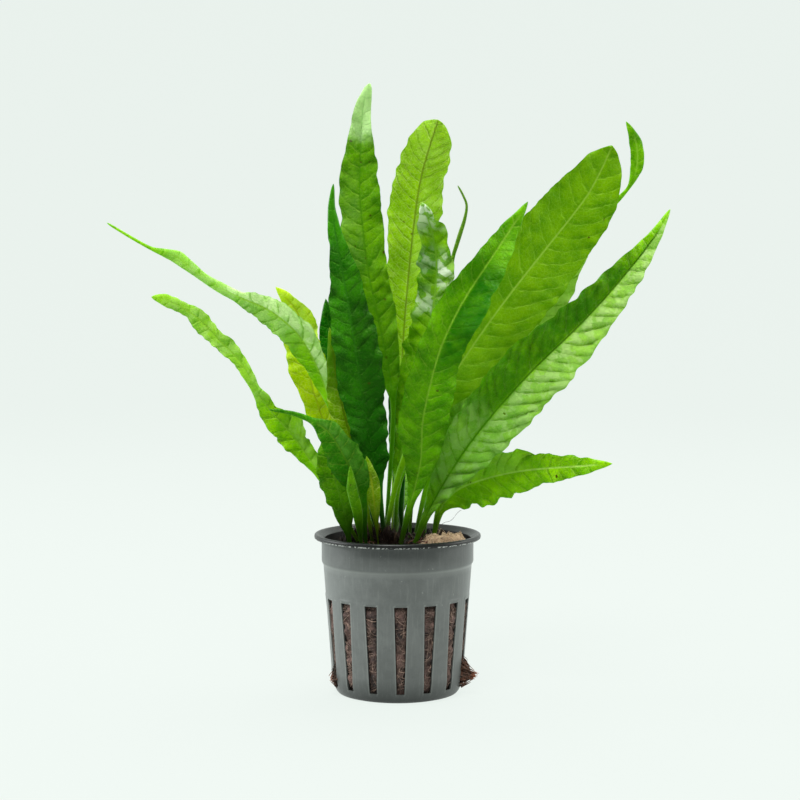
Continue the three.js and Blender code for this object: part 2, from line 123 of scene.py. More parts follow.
def resample(points: Array, places: Array) -> Array:
    """Points on a smooth curve through given points.

    Args:
        points: the given points, one row each.
        places: where to read the curve, counted in given points.

    Returns:
        One row for each place.
    """
    last = len(points) - 1
    lower = np.clip(np.floor(places).astype(int), 0, last - 1)
    share = (places - lower)[:, None]
    before = points[np.clip(lower - 1, 0, last)]
    start, end = points[lower], points[lower + 1]
    after = points[np.clip(lower + 2, 0, last)]
    return 0.5 * (
        2 * start
        + (end - before) * share
        + (2 * before - 5 * start + 4 * end - after) * share**2
        + (3 * start - before - 3 * end + after) * share**3
    )


def unit(vectors: Array) -> Array:
    """The same vectors at length one."""
    return vectors / np.maximum(np.linalg.norm(vectors, axis=-1, keepdims=True), 1e-12)


# ------------------------------------------------------------------ meshes


@dataclass
class Skin:
    """A mesh being gathered: its points, faces and painted values.

    Attributes:
        points: places in metres.
        faces: corner numbers of each face.
        paints: named values, one row of three for each point.
    """

    points: Array
    faces: list[tuple[int, ...]]
    paints: dict[str, Array] = field(default_factory=dict)

    def piece(
        self, name: str, material: bpy.types.Material, sharp: float = CRISP_ANGLE
    ) -> bpy.types.Object:
        """Makes a Blender object of the gathered mesh.

        Args:
            name: the object's name.
            material: its finish.
            sharp: edges that bend more than this many degrees stay crisp.

        Returns:
            The new object, linked to the scene.
        """
        mesh = bpy.data.meshes.new(name)
        mesh.from_pydata(self.points.tolist(), [], self.faces)
        for paint, values in self.paints.items():
            layer = mesh.attributes.new(paint, "FLOAT_VECTOR", "POINT")
            layer.data.foreach_set("vector", values.astype(np.float32).ravel())
        mesh.validate()
        mesh.shade_smooth()
        mesh.set_sharp_from_angle(angle=math.radians(sharp))
        mesh.materials.append(material)
        made = bpy.data.objects.new(name, mesh)
        bpy.context.scene.collection.objects.link(made)
        return made


def loft(rings: Array) -> list[tuple[int, ...]]:
    """The faces that join rings of points into a closed skin with flat ends.

    Args:
        rings: the points, as rings x points x 3. Only its shape is read.

    Returns:
        The faces, facing outwards where the points run anticlockwise about the course.
    """
    count, sides = rings.shape[:2]
    faces: list[tuple[int, ...]] = []
    for ring in range(count - 1):
        for side in range(sides):
            a = ring * sides + side
            b = ring * sides + (side + 1) % sides
            faces.append((a, b, b + sides, a + sides))
    last = (count - 1) * sides
    faces.append(tuple(range(sides - 1, -1, -1)))
    faces.append(tuple(range(last, last + sides)))
    return faces


def strands(
    courses: Array, radii: Array, sides: int, tints: Array
) -> Skin:
    """Many thin tapered tubes as one skin, for hairs, fibres and roots.

    Args:
        courses: where they run, as strands x points x 3, in metres.
        radii: how thick they are, as strands x points.
        sides: how many sides each has.
        tints: one number for each strand, painted on it as "tint".

    Returns:
        The skin. Its paint "tint" holds the tint, the share of length and 0.
    """
    along = unit(np.gradient(courses, axis=1))
    aside = np.where(np.abs(along[..., 2:3]) > 0.8, [[[1.0, 0, 0]]], [[[0, 0, 1.0]]])
    right = unit(np.cross(along, aside))
    up = np.cross(along, right)
    turns = np.arange(sides) * 2 * math.pi / sides
    spread = (
        right[:, :, None] * np.cos(turns)[None, None, :, None]
        + up[:, :, None] * np.sin(turns)[None, None, :, None]
    )
    points = courses[:, :, None] + spread * radii[:, :, None, None]
    number, length = courses.shape[:2]
    one = loft(points[0])
    step = length * sides
    faces = [tuple(i + k * step for i in face) for k in range(number) for face in one]
    paint = np.zeros((number, length, sides, 3))
    paint[..., 0] = tints[:, None, None]
    paint[..., 1] = np.linspace(0, 1, length)[None, :, None]
    return Skin(points.reshape(-1, 3), faces, {"tint": paint.reshape(-1, 3)})


def settle(piece: bpy.types.Object, slot: str, *nodes: str) -> None:
    """Puts a finished piece on the body, hides the solids that it replaces and logs its size.

    Args:
        piece: the piece.
        slot: not used.
        nodes: the solids that it replaces.
    """
    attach(piece, BODY)
    if nodes:
        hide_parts(*nodes)
    LOG.info("%s: %d faces", piece.name, len(piece.data.polygons))


# ------------------------------------------------------------------ shader wiring


def tone(code: str) -> tuple[float, float, float, float]:
    """A linear colour from six hexadecimal digits.

    Args:
        code: the digits, two each for red, green and blue.

    Returns:
        The colour, with full alpha.
    """
    parts = [int(code[i : i + 2], 16) / 255 for i in (0, 2, 4)]
    linear = [c / 12.92 if c <= 0.04045 else ((c + 0.055) / 1.055) ** 2.4 for c in parts]
    return (*linear, 1.0)


class Web:
    """A node tree being wired, with short ways to add its usual nodes.

    Attributes:
        tree: the tree.
    """

    def __init__(self, tree: Tree) -> None:
        """Starts on an empty tree."""
        self.tree = tree

    def node(self, kind: str, inputs: dict | None = None, **settings: object) -> bpy.types.Node:
        """Adds a node.

        Args:
            kind: its type, without the leading ShaderNode.
            inputs: sockets to link, or plain values to set, by name or number.
            settings: the node's own settings.

        Returns:
            The node.
        """
        made = self.tree.nodes.new("ShaderNode" + kind)
        for name, value in settings.items():
            setattr(made, name, value)
        for key, value in (inputs or {}).items():
            if isinstance(value, Socket):
                self.tree.links.new(value, made.inputs[key])
            else:
                made.inputs[key].default_value = value
        return made

    def maths(self, operation: str, *values: object) -> Socket:
        """The result of one sum on sockets or numbers."""
        return self.node("Math", dict(enumerate(values)), operation=operation).outputs[0]

    def times(self, *values: object) -> Socket:
        """The product of two sockets or numbers."""
        return self.maths("MULTIPLY", *values)

    def plus(self, *values: object) -> Socket:
        """The sum of two sockets or numbers."""
        return self.maths("ADD", *values)

    def rest(self, value: object) -> Socket:
        """What is left of 1 when a value is taken away."""
        return self.maths("SUBTRACT", 1.0, value)

    def step(self, value: object, low: float, high: float) -> Socket:
        """A smooth step from 0 at low to 1 at high."""
        inputs = {"Value": value, "From Min": low, "From Max": high}
        return self.node("MapRange", inputs, interpolation_type="SMOOTHSTEP").outputs[0]

    def mix(self, share: object, a: object, b: object, blend: str = "MIX") -> Socket:
        """A mix of two colours.

        Args:
            share: how much of the second there is.
            a: the first.
            b: the second.
            blend: how they are blended.

        Returns:
            The mixed colour.
        """
        inputs = {0: share, 6: a, 7: b}
        return self.node("Mix", inputs, data_type="RGBA", blend_type=blend).outputs[2]

    def noise(self, place: object, scale: float, detail: float = 3.0) -> Socket:
        """Cloudy noise.

        Args:
            place: where it is read.
            scale: how fine it is.
            detail: how many finer layers it has.

        Returns:
            A number from 0 to 1.
        """
        inputs = {"Vector": place, "Scale": scale, "Detail": detail}
        return self.node("TexNoise", inputs).outputs[0]

    def paint(self, name: str) -> list[Socket]:
        """A painted value.

        Args:
            name: the paint.

        Returns:
            Its vector and its three numbers.
        """
        read = self.node("Attribute", attribute_name=name).outputs["Vector"]
        apart = self.node("SeparateXYZ", {0: read})
        return [read, *apart.outputs]


    def place_mm(self) -> Socket:
        """The place on the piece.

        Returns:
            A vector in millimetres.
        """
        place = self.node("TexCoord").outputs["Object"]
        return self.node("VectorMath", {0: place, "Scale": 1 / MM}, operation="SCALE").outputs[0]

    def group(self, tree: Tree, **inputs: object) -> bpy.types.Node:
        """Places a node group.

        Args:
            tree: the group.
            inputs: its inputs by name. Each is a socket to link or a value to set.

        Returns:
            The group node.
        """
        made = self.tree.nodes.new("ShaderNodeGroup")
        made.node_tree = tree
        for name, value in inputs.items():
            if isinstance(value, Socket):
                self.tree.links.new(value, made.inputs[name])
            else:
                made.inputs[name].default_value = value
        return made


SocketPlan = Sequence[tuple[str, str, str]]


def node_group(
    name: str, sockets: SocketPlan, wire: Callable[[Web, bpy.types.Node], dict]
) -> Tree:
    """Builds a shader node group once.

    Args:
        name: the group's name.
        sockets: (name, "INPUT" or "OUTPUT", kind) for each socket.
        wire: wires the group, and returns the socket that feeds each output by name.

    Returns:
        The group.
    """
    known = bpy.data.node_groups.get(name)
    if known:
        return known
    tree = bpy.data.node_groups.new(name, "ShaderNodeTree")
    for label, way, kind in sockets:
        tree.interface.new_socket(label, in_out=way, socket_type="NodeSocket" + kind)
    web = Web(tree)
    start = tree.nodes.new("NodeGroupInput")
    end = tree.nodes.new("NodeGroupOutput")
    for label, socket in wire(web, start).items():
        tree.links.new(socket, end.inputs[label])
    return tree


def veins_group() -> Tree:
    """The veins of a frond: slanting side veins, the painted shadow beside each, and a fine net
    between them.

    Returns:
        The group.
    """

    def wire(web: Web, start: bpy.types.Node) -> dict:
        """Wires the veins from the place on the blade and the count of side veins.

        Args:
            web: the group being wired.
            start: the node with its inputs.

        Returns:
            The socket for each output.
        """
        place = start.outputs["Place"]
        apart = web.node("SeparateXYZ", {0: place}).outputs
        flat = web.node("CombineXYZ", {0: apart[0], 1: apart[1]}).outputs[0]
        warp = web.times(web.maths("SUBTRACT", web.noise(flat, 0.5, 3.0), 0.5), 0.35)
        wave = web.maths("PINGPONG", web.plus(start.outputs["Count"], warp), 0.5)
        fade = web.plus(web.times(web.step(web.noise(flat, 0.3, 2.0), 0.38, 0.6), 0.7), 0.3)
        side = web.times(web.rest(web.step(wave, 0.0, 0.075)), fade)
        # Painted shadow: a band just beside each side vein, as if the raised vein shaded the blade.
        above = web.maths("PINGPONG", web.plus(web.plus(start.outputs["Count"], warp), -0.1), 0.5)
        beside = web.times(web.rest(web.step(above, 0.03, 0.2)), fade)
        bend = web.node("TexNoise", {"Vector": flat, "Scale": 0.6}).outputs[1]
        bent = web.node("VectorMath", {0: flat, 1: bend}).outputs[0]
        cells = web.node("TexVoronoi", {"Vector": bent, "Scale": 0.8}, feature="DISTANCE_TO_EDGE")
        net = web.rest(web.step(cells.outputs["Distance"], 0.0, 0.1))
        both = web.maths("MAXIMUM", side, web.times(net, 0.5))
        shade = web.maths("MAXIMUM", web.maths("SUBTRACT", beside, side), 0.0)
        return {"Side Vein": side, "Shade": shade, "Net": net, "Height": both}

    sockets = (
        ("Place", "INPUT", "Vector"),
        ("Count", "INPUT", "Float"),
        ("Side Vein", "OUTPUT", "Float"),
        ("Shade", "OUTPUT", "Float"),
        ("Net", "OUTPUT", "Float"),
        ("Height", "OUTPUT", "Float"),
    )
    return node_group("frond_veins", sockets, wire)


def mottle_group() -> Tree:
    """Uneven colour: broad clouds, small clouds and single cells of two tones.

    Returns:
        The group.
    """

    def wire(web: Web, start: bpy.types.Node) -> dict:
        """Wires the clouds from a place and a scale.

        Args:
            web: the group being wired.
            start: the node with its inputs.

        Returns:
            The socket for each output.
        """
        inputs = {0: start.outputs["Place"], "Scale": start.outputs["Scale"]}
        spot = web.node("VectorMath", inputs, operation="SCALE").outputs[0]
        broad = web.noise(spot, 0.09, 2.0)
        small = web.noise(spot, 0.45, 4.0)
        cell = web.noise(spot, 2.6, 2.0)
        blend = web.plus(web.times(broad, 0.5), web.times(small, 0.32))
        blend = web.plus(blend, web.times(cell, 0.18))
        share = web.step(blend, 0.36, 0.64)
        return {
            "Color": web.mix(share, start.outputs["Deep"], start.outputs["Light"]),
            "Cloud": share,
        }

    sockets = (
        ("Place", "INPUT", "Vector"),
        ("Scale", "INPUT", "Float"),
        ("Deep", "INPUT", "Color"),
        ("Light", "INPUT", "Color"),
        ("Color", "OUTPUT", "Color"),
        ("Cloud", "OUTPUT", "Float"),
    )
    return node_group("mottle", sockets, wire)


def spots_group() -> Tree:
    """Scattered small spots of uneven size.

    Returns:
        The group.
    """

    def wire(web: Web, start: bpy.types.Node) -> dict:
        """Wires the spots from a place, how far apart they lie and how many there are.

        Args:
            web: the group being wired.
            start: the node with its inputs.

        Returns:
            The socket for each output.
        """
        bend = web.node("TexNoise", {"Vector": start.outputs["Place"], "Scale": 1.2}).outputs[1]
        place = web.node("VectorMath", {0: start.outputs["Place"], 1: bend}).outputs[0]
        cells = web.node("TexVoronoi", {"Vector": place, "Scale": start.outputs["Density"]})
        chance = web.node("SeparateColor", {0: cells.outputs["Color"]}).outputs
        chosen = web.maths("LESS_THAN", chance[0], start.outputs["Amount"])
        radius = web.times(web.plus(chance[1], 0.4), start.outputs["Size"])
        near = web.rest(web.maths("DIVIDE", cells.outputs["Distance"], radius))
        return {"Mask": web.times(web.step(near, 0.0, 0.45), chosen)}

    sockets = (
        ("Place", "INPUT", "Vector"),
        ("Density", "INPUT", "Float"),
        ("Size", "INPUT", "Float"),
        ("Amount", "INPUT", "Float"),
        ("Mask", "OUTPUT", "Float"),
    )
    return node_group("spots", sockets, wire)


def new_material(name: str) -> tuple[bpy.types.Material, Web]:
    """An empty material and its web.

    Args:
        name: the material's name.

    Returns:
        The material, and its node tree ready to be wired.
    """
    made = bpy.data.materials.new(name)
    made.use_nodes = True
    made.node_tree.nodes.clear()
    return made, Web(made.node_tree)


def show(web: Web, shader: Socket) -> None:
    """Feeds a shader to the material's output.

    Args:
        web: the material's tree.
        shader: the shader.
    """
    end = web.tree.nodes.new("ShaderNodeOutputMaterial")
    web.tree.links.new(shader, end.inputs["Surface"])


# ------------------------------------------------------------------ finishes


@dataclass(frozen=True)
class LeafFinish:
    """How a frond looks.

    Attributes:
        light: its brighter green.
        deep: its deeper green.
        vein: the side veins, a little raised and pale.
        rib: the midrib.
        glow: the green of light that comes through it.
        gloss: roughness, lower is wetter.
        through: the share of light that comes through.
        spots: how many brown spots it has, 0 to 1.
        highlit_tip: the share of its length that is washed out at the tip.
        veining: how strongly the veins are coloured.
        relief: how strongly the veins and cells stand out.
        foot: how much painted shade deepens the green towards the foot, inside the crown.
        shine: how strongly it mirrors, 0.5 being plain.
        painted_highlight: the pale colour of its painted highlight, over its glossy stretches.
        patchy: how broken up its painted highlight is, 0 to 1.
        gloom: the colour of its painted shade: its shaded stretches, and the shadow beside its veins.
        spot: the brown of its spots.
        tip_highlight: the pale green of a washed-out tip.
        underside: the greyer green that its lower side leans to.
        soil_and_shade: the dark brown-green of a stalk's soiled foot.
        tint: the green that its gloss takes on.
    """

    light: str = "80be04"
    deep: str = "3f8402"
    vein: str = "b4de50"
    rib: str = "9ccc40"
    glow: str = "a4d202"
    gloss: float = 0.36
    through: float = 0.42
    spots: float = 0.06
    # highlit_tip: the share of its length at the tip that takes a painted highlight.
    highlit_tip: float = 0.0
    veining: float = 0.6
    relief: float = 0.85
    foot: float = 0.6
    shine: float = 0.3
    painted_highlight: str = "ccf08c"
    patchy: float = 0.6
    gloom: str = "227402"
    spot: str = "4a2c08"
    # tip_highlight: the pale green of the painted highlight at its tip.
    tip_highlight: str = "d2f0b4"
    underside: str = "86b046"
    # soil_and_shade: the dark brown-green of a stalk's foot: grimy at the very foot, with painted
    # shade of the crown further up.
    soil_and_shade: str = "101a06"
    tint: tuple[float, float, float, float] = (0.62, 1.0, 0.25, 1.0)

    def material(self, name: str) -> bpy.types.Material:
        """Builds the leaf material.

        Args:
            name: the material's name.

        Returns:
            The material. It reads the paints "blade", "reach" and "vein".
        """
        made, web = new_material(name)
        place, across, height, side = web.paint("blade")
        _, margin, reach, width = web.paint("reach")
        _, count, painted_highlight, dark = web.paint("vein")
        veins = web.group(veins_group(), Place=place, Count=count)
        colour = self._colour(web, place, veins)
        # Painted shade: the zones' shaded stretches are mixed towards the gloom colour.
        shadow = web.times(dark, web.plus(web.noise(place, 0.5, 4.0), 0.25))
        colour = web.mix(shadow, colour, tone(self.gloom))
        # Painted highlight: the zones' pale stretches, broken into patches and kept off the painted
        # shadow beside the veins.
        patches = web.step(web.noise(place, 0.26, 3.0), 0.47, 0.54)
        patches = web.plus(web.times(patches, self.patchy), 1.0 - self.patchy)
        lines = web.rest(web.times(veins.outputs["Shade"], 0.75))
        gleam = web.times(web.times(painted_highlight, patches), lines)
        colour = web.mix(gleam, colour, tone(self.painted_highlight))
        rib = self._rib(web, across, width)
        colour = web.mix(web.times(rib, 0.8), colour, tone(self.rib))
        spots = web.group(spots_group(), Place=place, Density=0.32, Size=0.17, Amount=self.spots)
        colour = web.mix(spots.outputs["Mask"], colour, tone(self.spot))
        # Painted highlight: the tip is mixed towards a pale green, as glare on a glossy tip would
        # look.
        if self.highlit_tip > 0:
            edge = web.plus(reach, web.times(web.noise(place, 0.3, 3.0), 0.06))
            tip_highlight = web.step(edge, 1.02 - self.highlit_tip, 1.05 - self.highlit_tip)
            colour = web.mix(web.times(tip_highlight, 0.75), colour, tone(self.tip_highlight))
        under = web.times(web.rest(side), 0.2)
        colour = web.mix(under, colour, tone(self.underside))
        # Painted shade: the green deepens towards the foot, which lies in the shade of the other
        # fronds.
        shaded = web.times(web.rest(web.step(reach, 0.15, 0.7)), self.foot)
        colour = web.mix(shaded, colour, tone(self.deep))
        # A stalk's foot darkens over its lowest 17 mm: grime at the very foot, and painted shade of
        # the crown above it.
        soiled_and_shaded = web.times(web.rest(web.step(height, 3.0, 17.0)), 0.85)
        colour = web.mix(soiled_and_shaded, colour, tone(self.soil_and_shade))
        margin_line = web.times(web.step(margin, 0.93, 1.0), 0.3)
        colour = web.mix(margin_line, colour, tone(self.deep))
        bump = self._bump(web, place, veins, side, width)
        rough = web.plus(web.times(web.noise(place, 0.4, 3.0), 0.3), self.gloss - 0.15)
        skin = web.node(
            "BsdfPrincipled",
            {
                "Base Color": colour,
                "Roughness": rough,
                "Normal": bump,
                "IOR": 1.45,
                "Specular IOR Level": self.shine,
                "Specular Tint": self.tint,
            },
        )
        glow = web.mix(0.5, colour, tone(self.glow))
        thin = web.node("BsdfTranslucent", {"Color": glow})
        both = web.node("MixShader", {0: self.through, 1: skin.outputs[0], 2: thin.outputs[0]})
        show(web, both.outputs[0])
        return made

    def _colour(
        self, web: Web, place: Socket, veins: bpy.types.Node
    ) -> Socket:
        """The blade's green with its pale veins, the shade beside them and the fine net.

        Args:
            web: the tree being wired.
            place: the place on the blade.
            veins: the veins group.

        Returns:
            The colour.
        """
        mottle = web.group(
            mottle_group(), Place=place, Scale=1.0, Deep=tone(self.deep), Light=tone(self.light)
        )
        shade = web.times(veins.outputs["Shade"], 0.75 * self.veining)
        colour = web.mix(shade, mottle.outputs["Color"], tone(self.gloom))
        net = web.times(veins.outputs["Net"], 0.5 * self.veining)
        colour = web.mix(net, colour, tone(self.vein))
        side = web.times(veins.outputs["Side Vein"], self.veining)
        return web.mix(side, colour, tone(self.vein))

    def _rib(self, web: Web, across: object, width: object) -> Socket:
        """The midrib, which is only coloured where there is a blade.

        Args:
            web: the tree being wired.
            across: millimetres from the midrib.
            width: the blade's width.

        Returns:
            A mask.
        """
        near = web.rest(web.step(web.maths("ABSOLUTE", across), 0.16, 0.42))
        return web.times(near, web.step(width, 2.5, 5.0))

    def _bump(
        self, web: Web, place: object, veins: bpy.types.Node, side: object, width: object
    ) -> Socket:
        """Fine relief: veins sunk into the upper side and raised on the lower, and cells.

        Args:
            web: the tree being wired.
            place: the place on the blade.
            veins: the veins group.
            side: 1 on the upper side, 0 on the lower.
            width: the blade's width.

        Returns:
            The bent normal.
        """
        sign = web.rest(web.times(side, 2.0))
        lines = web.times(web.times(veins.outputs["Height"], sign), 0.8)
        cells = web.plus(web.noise(place, 1.3, 3.0), web.times(web.noise(place, 3.5, 2.0), 0.12))
        height = web.times(web.plus(lines, cells), web.step(width, 2.0, 9.0))
        inputs = {"Strength": self.relief, "Distance": 0.4 * MM, "Height": height}
        return web.node("Bump", inputs).outputs[0]


@dataclass(frozen=True)
class PlasticFinish:
    """Dusty, scuffed, moulded plastic.

    Attributes:
        bare_and_shade: the near-black of the bare plastic on the lip, which also serves as painted
            shade inside the pot and at its foot.
        body: its dusty colour.
        shade: the darker tone of its clouds.
        dust_and_highlight: the colour of the dusty film and scuffs, and of the painted highlight on
            slot edges and under the shoulder.
        flash: the pale flecks of moulding flash under the lip.
        gloss: roughness.
        shine: how strongly it mirrors, 0.5 being plain.
    """

    bare_and_shade: str = "121413"
    body: str = "686c6a"
    shade: str = "5d615f"
    dust_and_highlight: str = "a4a9a4"
    flash: str = "d9dcd6"
    gloss: float = 0.34
    shine: float = 0.3

    def material(self, name: str) -> bpy.types.Material:
        """Builds the plastic.

        Args:
            name: the material's name.

        Returns:
            The material. It reads the paint "wear_and_light": flashed rim, painted highlight on edges,
            and dusty film with painted shade.
        """
        made, web = new_material(name)
        mm = web.place_mm()
        # Second number: painted highlight on slot edges and under the shoulder. Third: dusty film, low
        # where there is painted shade.
        _, rim, edge, dust_and_shade = web.paint("wear_and_light")
        mottle = web.group(
            mottle_group(), Place=mm, Scale=0.8, Deep=tone(self.shade), Light=tone(self.body)
        )
        specks = web.group(spots_group(), Place=mm, Density=0.6, Size=0.16, Amount=0.12)
        flecks = web.group(spots_group(), Place=mm, Density=1.6, Size=0.7, Amount=0.75)
        stretch = {0: mm, 1: (1.6, 1.6, 0.14)}
        drawn = web.node("VectorMath", stretch, operation="MULTIPLY").outputs[0]
        scuff = web.step(web.noise(drawn, 0.8, 4.0), 0.5, 0.75)
        dust_and_highlight = web.times(scuff, 0.1)
        dust_and_highlight = web.maths("MAXIMUM", dust_and_highlight, web.times(specks.outputs["Mask"], 0.3))
        # Painted highlight: slot edges and the line under the shoulder are lightened in the pale
        # colour.
        dust_and_highlight = web.maths("MAXIMUM", dust_and_highlight, web.times(edge, 0.4))
        dust_and_highlight = web.times(dust_and_highlight, dust_and_shade)
        flash = web.times(web.times(flecks.outputs["Mask"], rim), 0.85)
        # Painted shade: where there is little dusty film the near-black shows, inside the pot and
        # towards its foot.
        colour = web.mix(dust_and_shade, tone(self.bare_and_shade), mottle.outputs["Color"])
        colour = web.mix(dust_and_highlight, colour, tone(self.dust_and_highlight))
        colour = web.mix(flash, colour, tone(self.flash))
        rough = web.plus(web.times(mottle.outputs["Cloud"], 0.1), self.gloss)
        height = web.plus(web.noise(mm, 3.0, 3.0), web.times(scuff, -0.4))
        bump = web.node("Bump", {"Strength": 0.25, "Distance": 0.0001, "Height": height})
        skin = web.node(
            "BsdfPrincipled",
            {
                "Base Color": colour,
                "Roughness": rough,
                "Normal": bump.outputs[0],
                "Specular IOR Level": self.shine,
            },
        )
        show(web, skin.outputs[0])
        return made


@dataclass(frozen=True)
class FibreFinish:
    """Matted fibres, bark and roots: dull and uneven in colour.

    Attributes:
        light: the palest strands.
        deep: the darkest.
        scale: how fine the clouds are, against millimetres.
        tinted: whether each strand has a tint of its own, in the paint "tint".
        bloom: a pale colour where the paint "tint" asks for it, if any.
        bloom_deep: the deeper tone of its clouds.
        gloss: roughness.
        relief: height of the bump, in millimetres.
    """

    light: str
    deep: str
    scale: float = 3.0
    tinted: bool = False
    bloom: str = ""
    bloom_deep: str = "6b543c"
    gloss: float = 0.85
    relief: float = 0.25

    def material(self, name: str) -> bpy.types.Material:
        """Builds the fibre material.

        Args:
            name: the material's name.

        Returns:
            The material. It reads the paint "tint" if it is tinted or has a bloom.
        """
        made, web = new_material(name)
        mm = web.place_mm()
        mottle = web.group(
            mottle_group(), Place=mm, Scale=self.scale, Deep=tone(self.deep), Light=tone(self.light)
        )
        colour = mottle.outputs["Color"]
        if self.tinted:
            _, tint, _, _ = web.paint("tint")
            own = web.mix(tint, tone(self.deep), tone(self.light))
            colour = web.mix(0.35, own, colour)
        if self.bloom:
            _, _, _, amount = web.paint("tint")
            pale = web.group(
                mottle_group(),
                Place=mm,
                Scale=self.scale,
                Deep=tone(self.bloom_deep),
                Light=tone(self.bloom),
            )
            colour = web.mix(amount, colour, pale.outputs["Color"])
        fine = web.noise(mm, self.scale * 1.5, 5.0)
        bump = web.node("Bump", {"Strength": 0.8, "Distance": self.relief * MM, "Height": fine})
        skin = web.node(
            "BsdfPrincipled",
            {"Base Color": colour, "Roughness": self.gloss, "Normal": bump.outputs[0]},
        )
        show(web, skin.outputs[0])
        return made


# ------------------------------------------------------------------ fronds


class Facing(Enum):
    """Which side of a frond looks the way that its solid faces."""

    UPPER = "upper"
    LOWER = "lower"


@dataclass(frozen=True)
class Zone:
    """A stretch of one half of a frond with painted highlight, and with painted shade where pale is
    below 0.

    Attributes:
        side: 1.0 for the right half, -1.0 for the left, 0.0 for both.
        start: where it starts, as a share of the length.
        end: where it ends.
        pale: how strong its painted highlight is. Below 0 it is painted shade instead.
    """

    side: float
    start: float
    end: float
    pale: float

    def share(self, along: Array, across: Array) -> Array:
        """How much of the zone lies at each place.

        Args:
            along: millimetres up the frond.
            across: shares of the width, left below 0.

        Returns:
            Numbers from 0 up to how strong the zone is.
        """
        place = along / along.max()
        window = ease(self.start - 0.05, self.start + 0.05, place)
        window = window * ease(-0.05, 0.05, self.end - place)
        half = ease(-0.02, 0.12, across * self.side) if self.side else np.ones_like(across)
        return window * half * abs(self.pale)


@dataclass(frozen=True)
class BladeShape:
    """The relief of a frond, in millimetres.

    Attributes:
        facing: the side that looks the way that the solid faces.
        quilt: how far the blade bulges between its side veins.
        spacing: distance between side veins.
        slant: how steeply they rise towards the tip.
        ruffle: height of the waves along the margin.
        ruffle_length: their length.
        scallop: how unevenly the margin is cut, as a share of the width.
        wave: height of the slow waves over the blade.
        rib: height of the midrib on the lower side.
        pleat: side, start, end and slope of a stretch where one half folds up further.
        zones: its stretches of painted highlight and of painted shade.
        seed: which random waves it has.
    """

    facing: Facing = Facing.UPPER
    quilt: float = 0.5
    spacing: float = 4.6
    slant: float = 0.42
    ruffle: float = 0.7
    ruffle_length: float = 8.0
    scallop: float = 0.06
    wave: float = 0.6
    rib: float = 0.45
    pleat: tuple[float, float, float, float] = (1.0, 0.0, 0.0, 0.0)
    zones: tuple[Zone, ...] = ()
    seed: int = 1


@dataclass
class Course:
    """Where a frond runs, read from its solid.

    Attributes:
        left: the left margin, one row for each ring of the solid.
        rib: the middle.
        right: the right margin.
        face: the way that the blade faces. At its foot each faces the front.
    """

    left: Array
    rib: Array
    right: Array
    face: Array

    RING = 8

    @classmethod
    def of(cls, node: bpy.types.Object) -> "Course":
        """Reads the rings of eight points that the solid is made of.

        Args:
            node: the frond's solid.

        Returns:
            Its course.
        """
        shape = bmesh.new()
        shape.from_mesh(node.data)
        bmesh.ops.remove_doubles(shape, verts=shape.verts, dist=WELD)
        lowest = min(shape.verts, key=lambda v: v.co.z)
        ring = sorted(shape.verts, key=lambda v: (v.co - lowest.co).length)[: cls.RING]
        seen, rings = set(ring), []
        while ring:
            rings.append(np.array([v.co[:] for v in ring]))
            near = {e.other_vert(v) for v in ring for e in v.link_edges} - seen
            seen |= near
            ring = sorted(near, key=lambda v: v.index)
        shape.free()
        centres = np.array([r.mean(0) for r in rings])
        way = np.array([0.0, -1.0, 0.0])
        rows = []
        for points, along in zip(rings, unit(np.gradient(centres, axis=0))):
            rows.append(cls._sort(points, along, way))
            way = rows[-1][3]
        return cls(*(np.array(part) for part in zip(*rows)))

    @staticmethod
    def _sort(points: Array, along: Array, way: Array) -> tuple[Array, ...]:
        """Finds the margins, the middle and the face of one ring.

        Args:
            points: the ring's points.
            along: the way that the frond runs there.
            way: the way that the ring before it faces.

        Returns:
            The left margin, the middle, the right margin and the face.
        """
        apart = np.linalg.norm(points[:, None] - points[None], axis=-1)
        one, other = np.unravel_index(apart.argmax(), apart.shape)
        chord = points[other] - points[one]
        share = np.abs((points - points[one]) @ chord / (chord @ chord) - 0.5)
        top, foot = points[np.argsort(share)[:2]]
        face = unit(top - foot)
        face = face if face @ way > 0 else -face
        if chord @ np.cross(along, face) < 0:
            one, other = other, one
        return points[one], (top + foot) / 2, points[other], face

    def rooted(self, depth: float) -> "Course":
        """The same course, reaching further down at its foot.

        Args:
            depth: how much further, in metres.

        Returns:
            The longer course.
        """
        step = unit(self.rib[1] - self.rib[0]) * depth
        parts = (self.left, self.rib, self.right)
        left, rib, right = (np.concatenate([p[:1] - step, p]) for p in parts)
        return Course(left, rib, right, np.concatenate([self.face[:1], self.face]))

    def fine(self, spacing: float) -> "Course":
        """The same course with more, evenly spaced rings.

        Args:
            spacing: distance between the new rings, in metres.

        Returns:
            The finer course.
        """
        run = np.concatenate([[0], np.cumsum(np.linalg.norm(np.diff(self.rib, axis=0), axis=1))])
        count = max(12, int(run[-1] / spacing))
        places = np.interp(np.linspace(0, run[-1], count), run, np.arange(len(run)))
        left, rib, right, face = (
            resample(p, places) for p in (self.left, self.rib, self.right, self.face)
        )
        return Course(left, rib, right, unit(face))


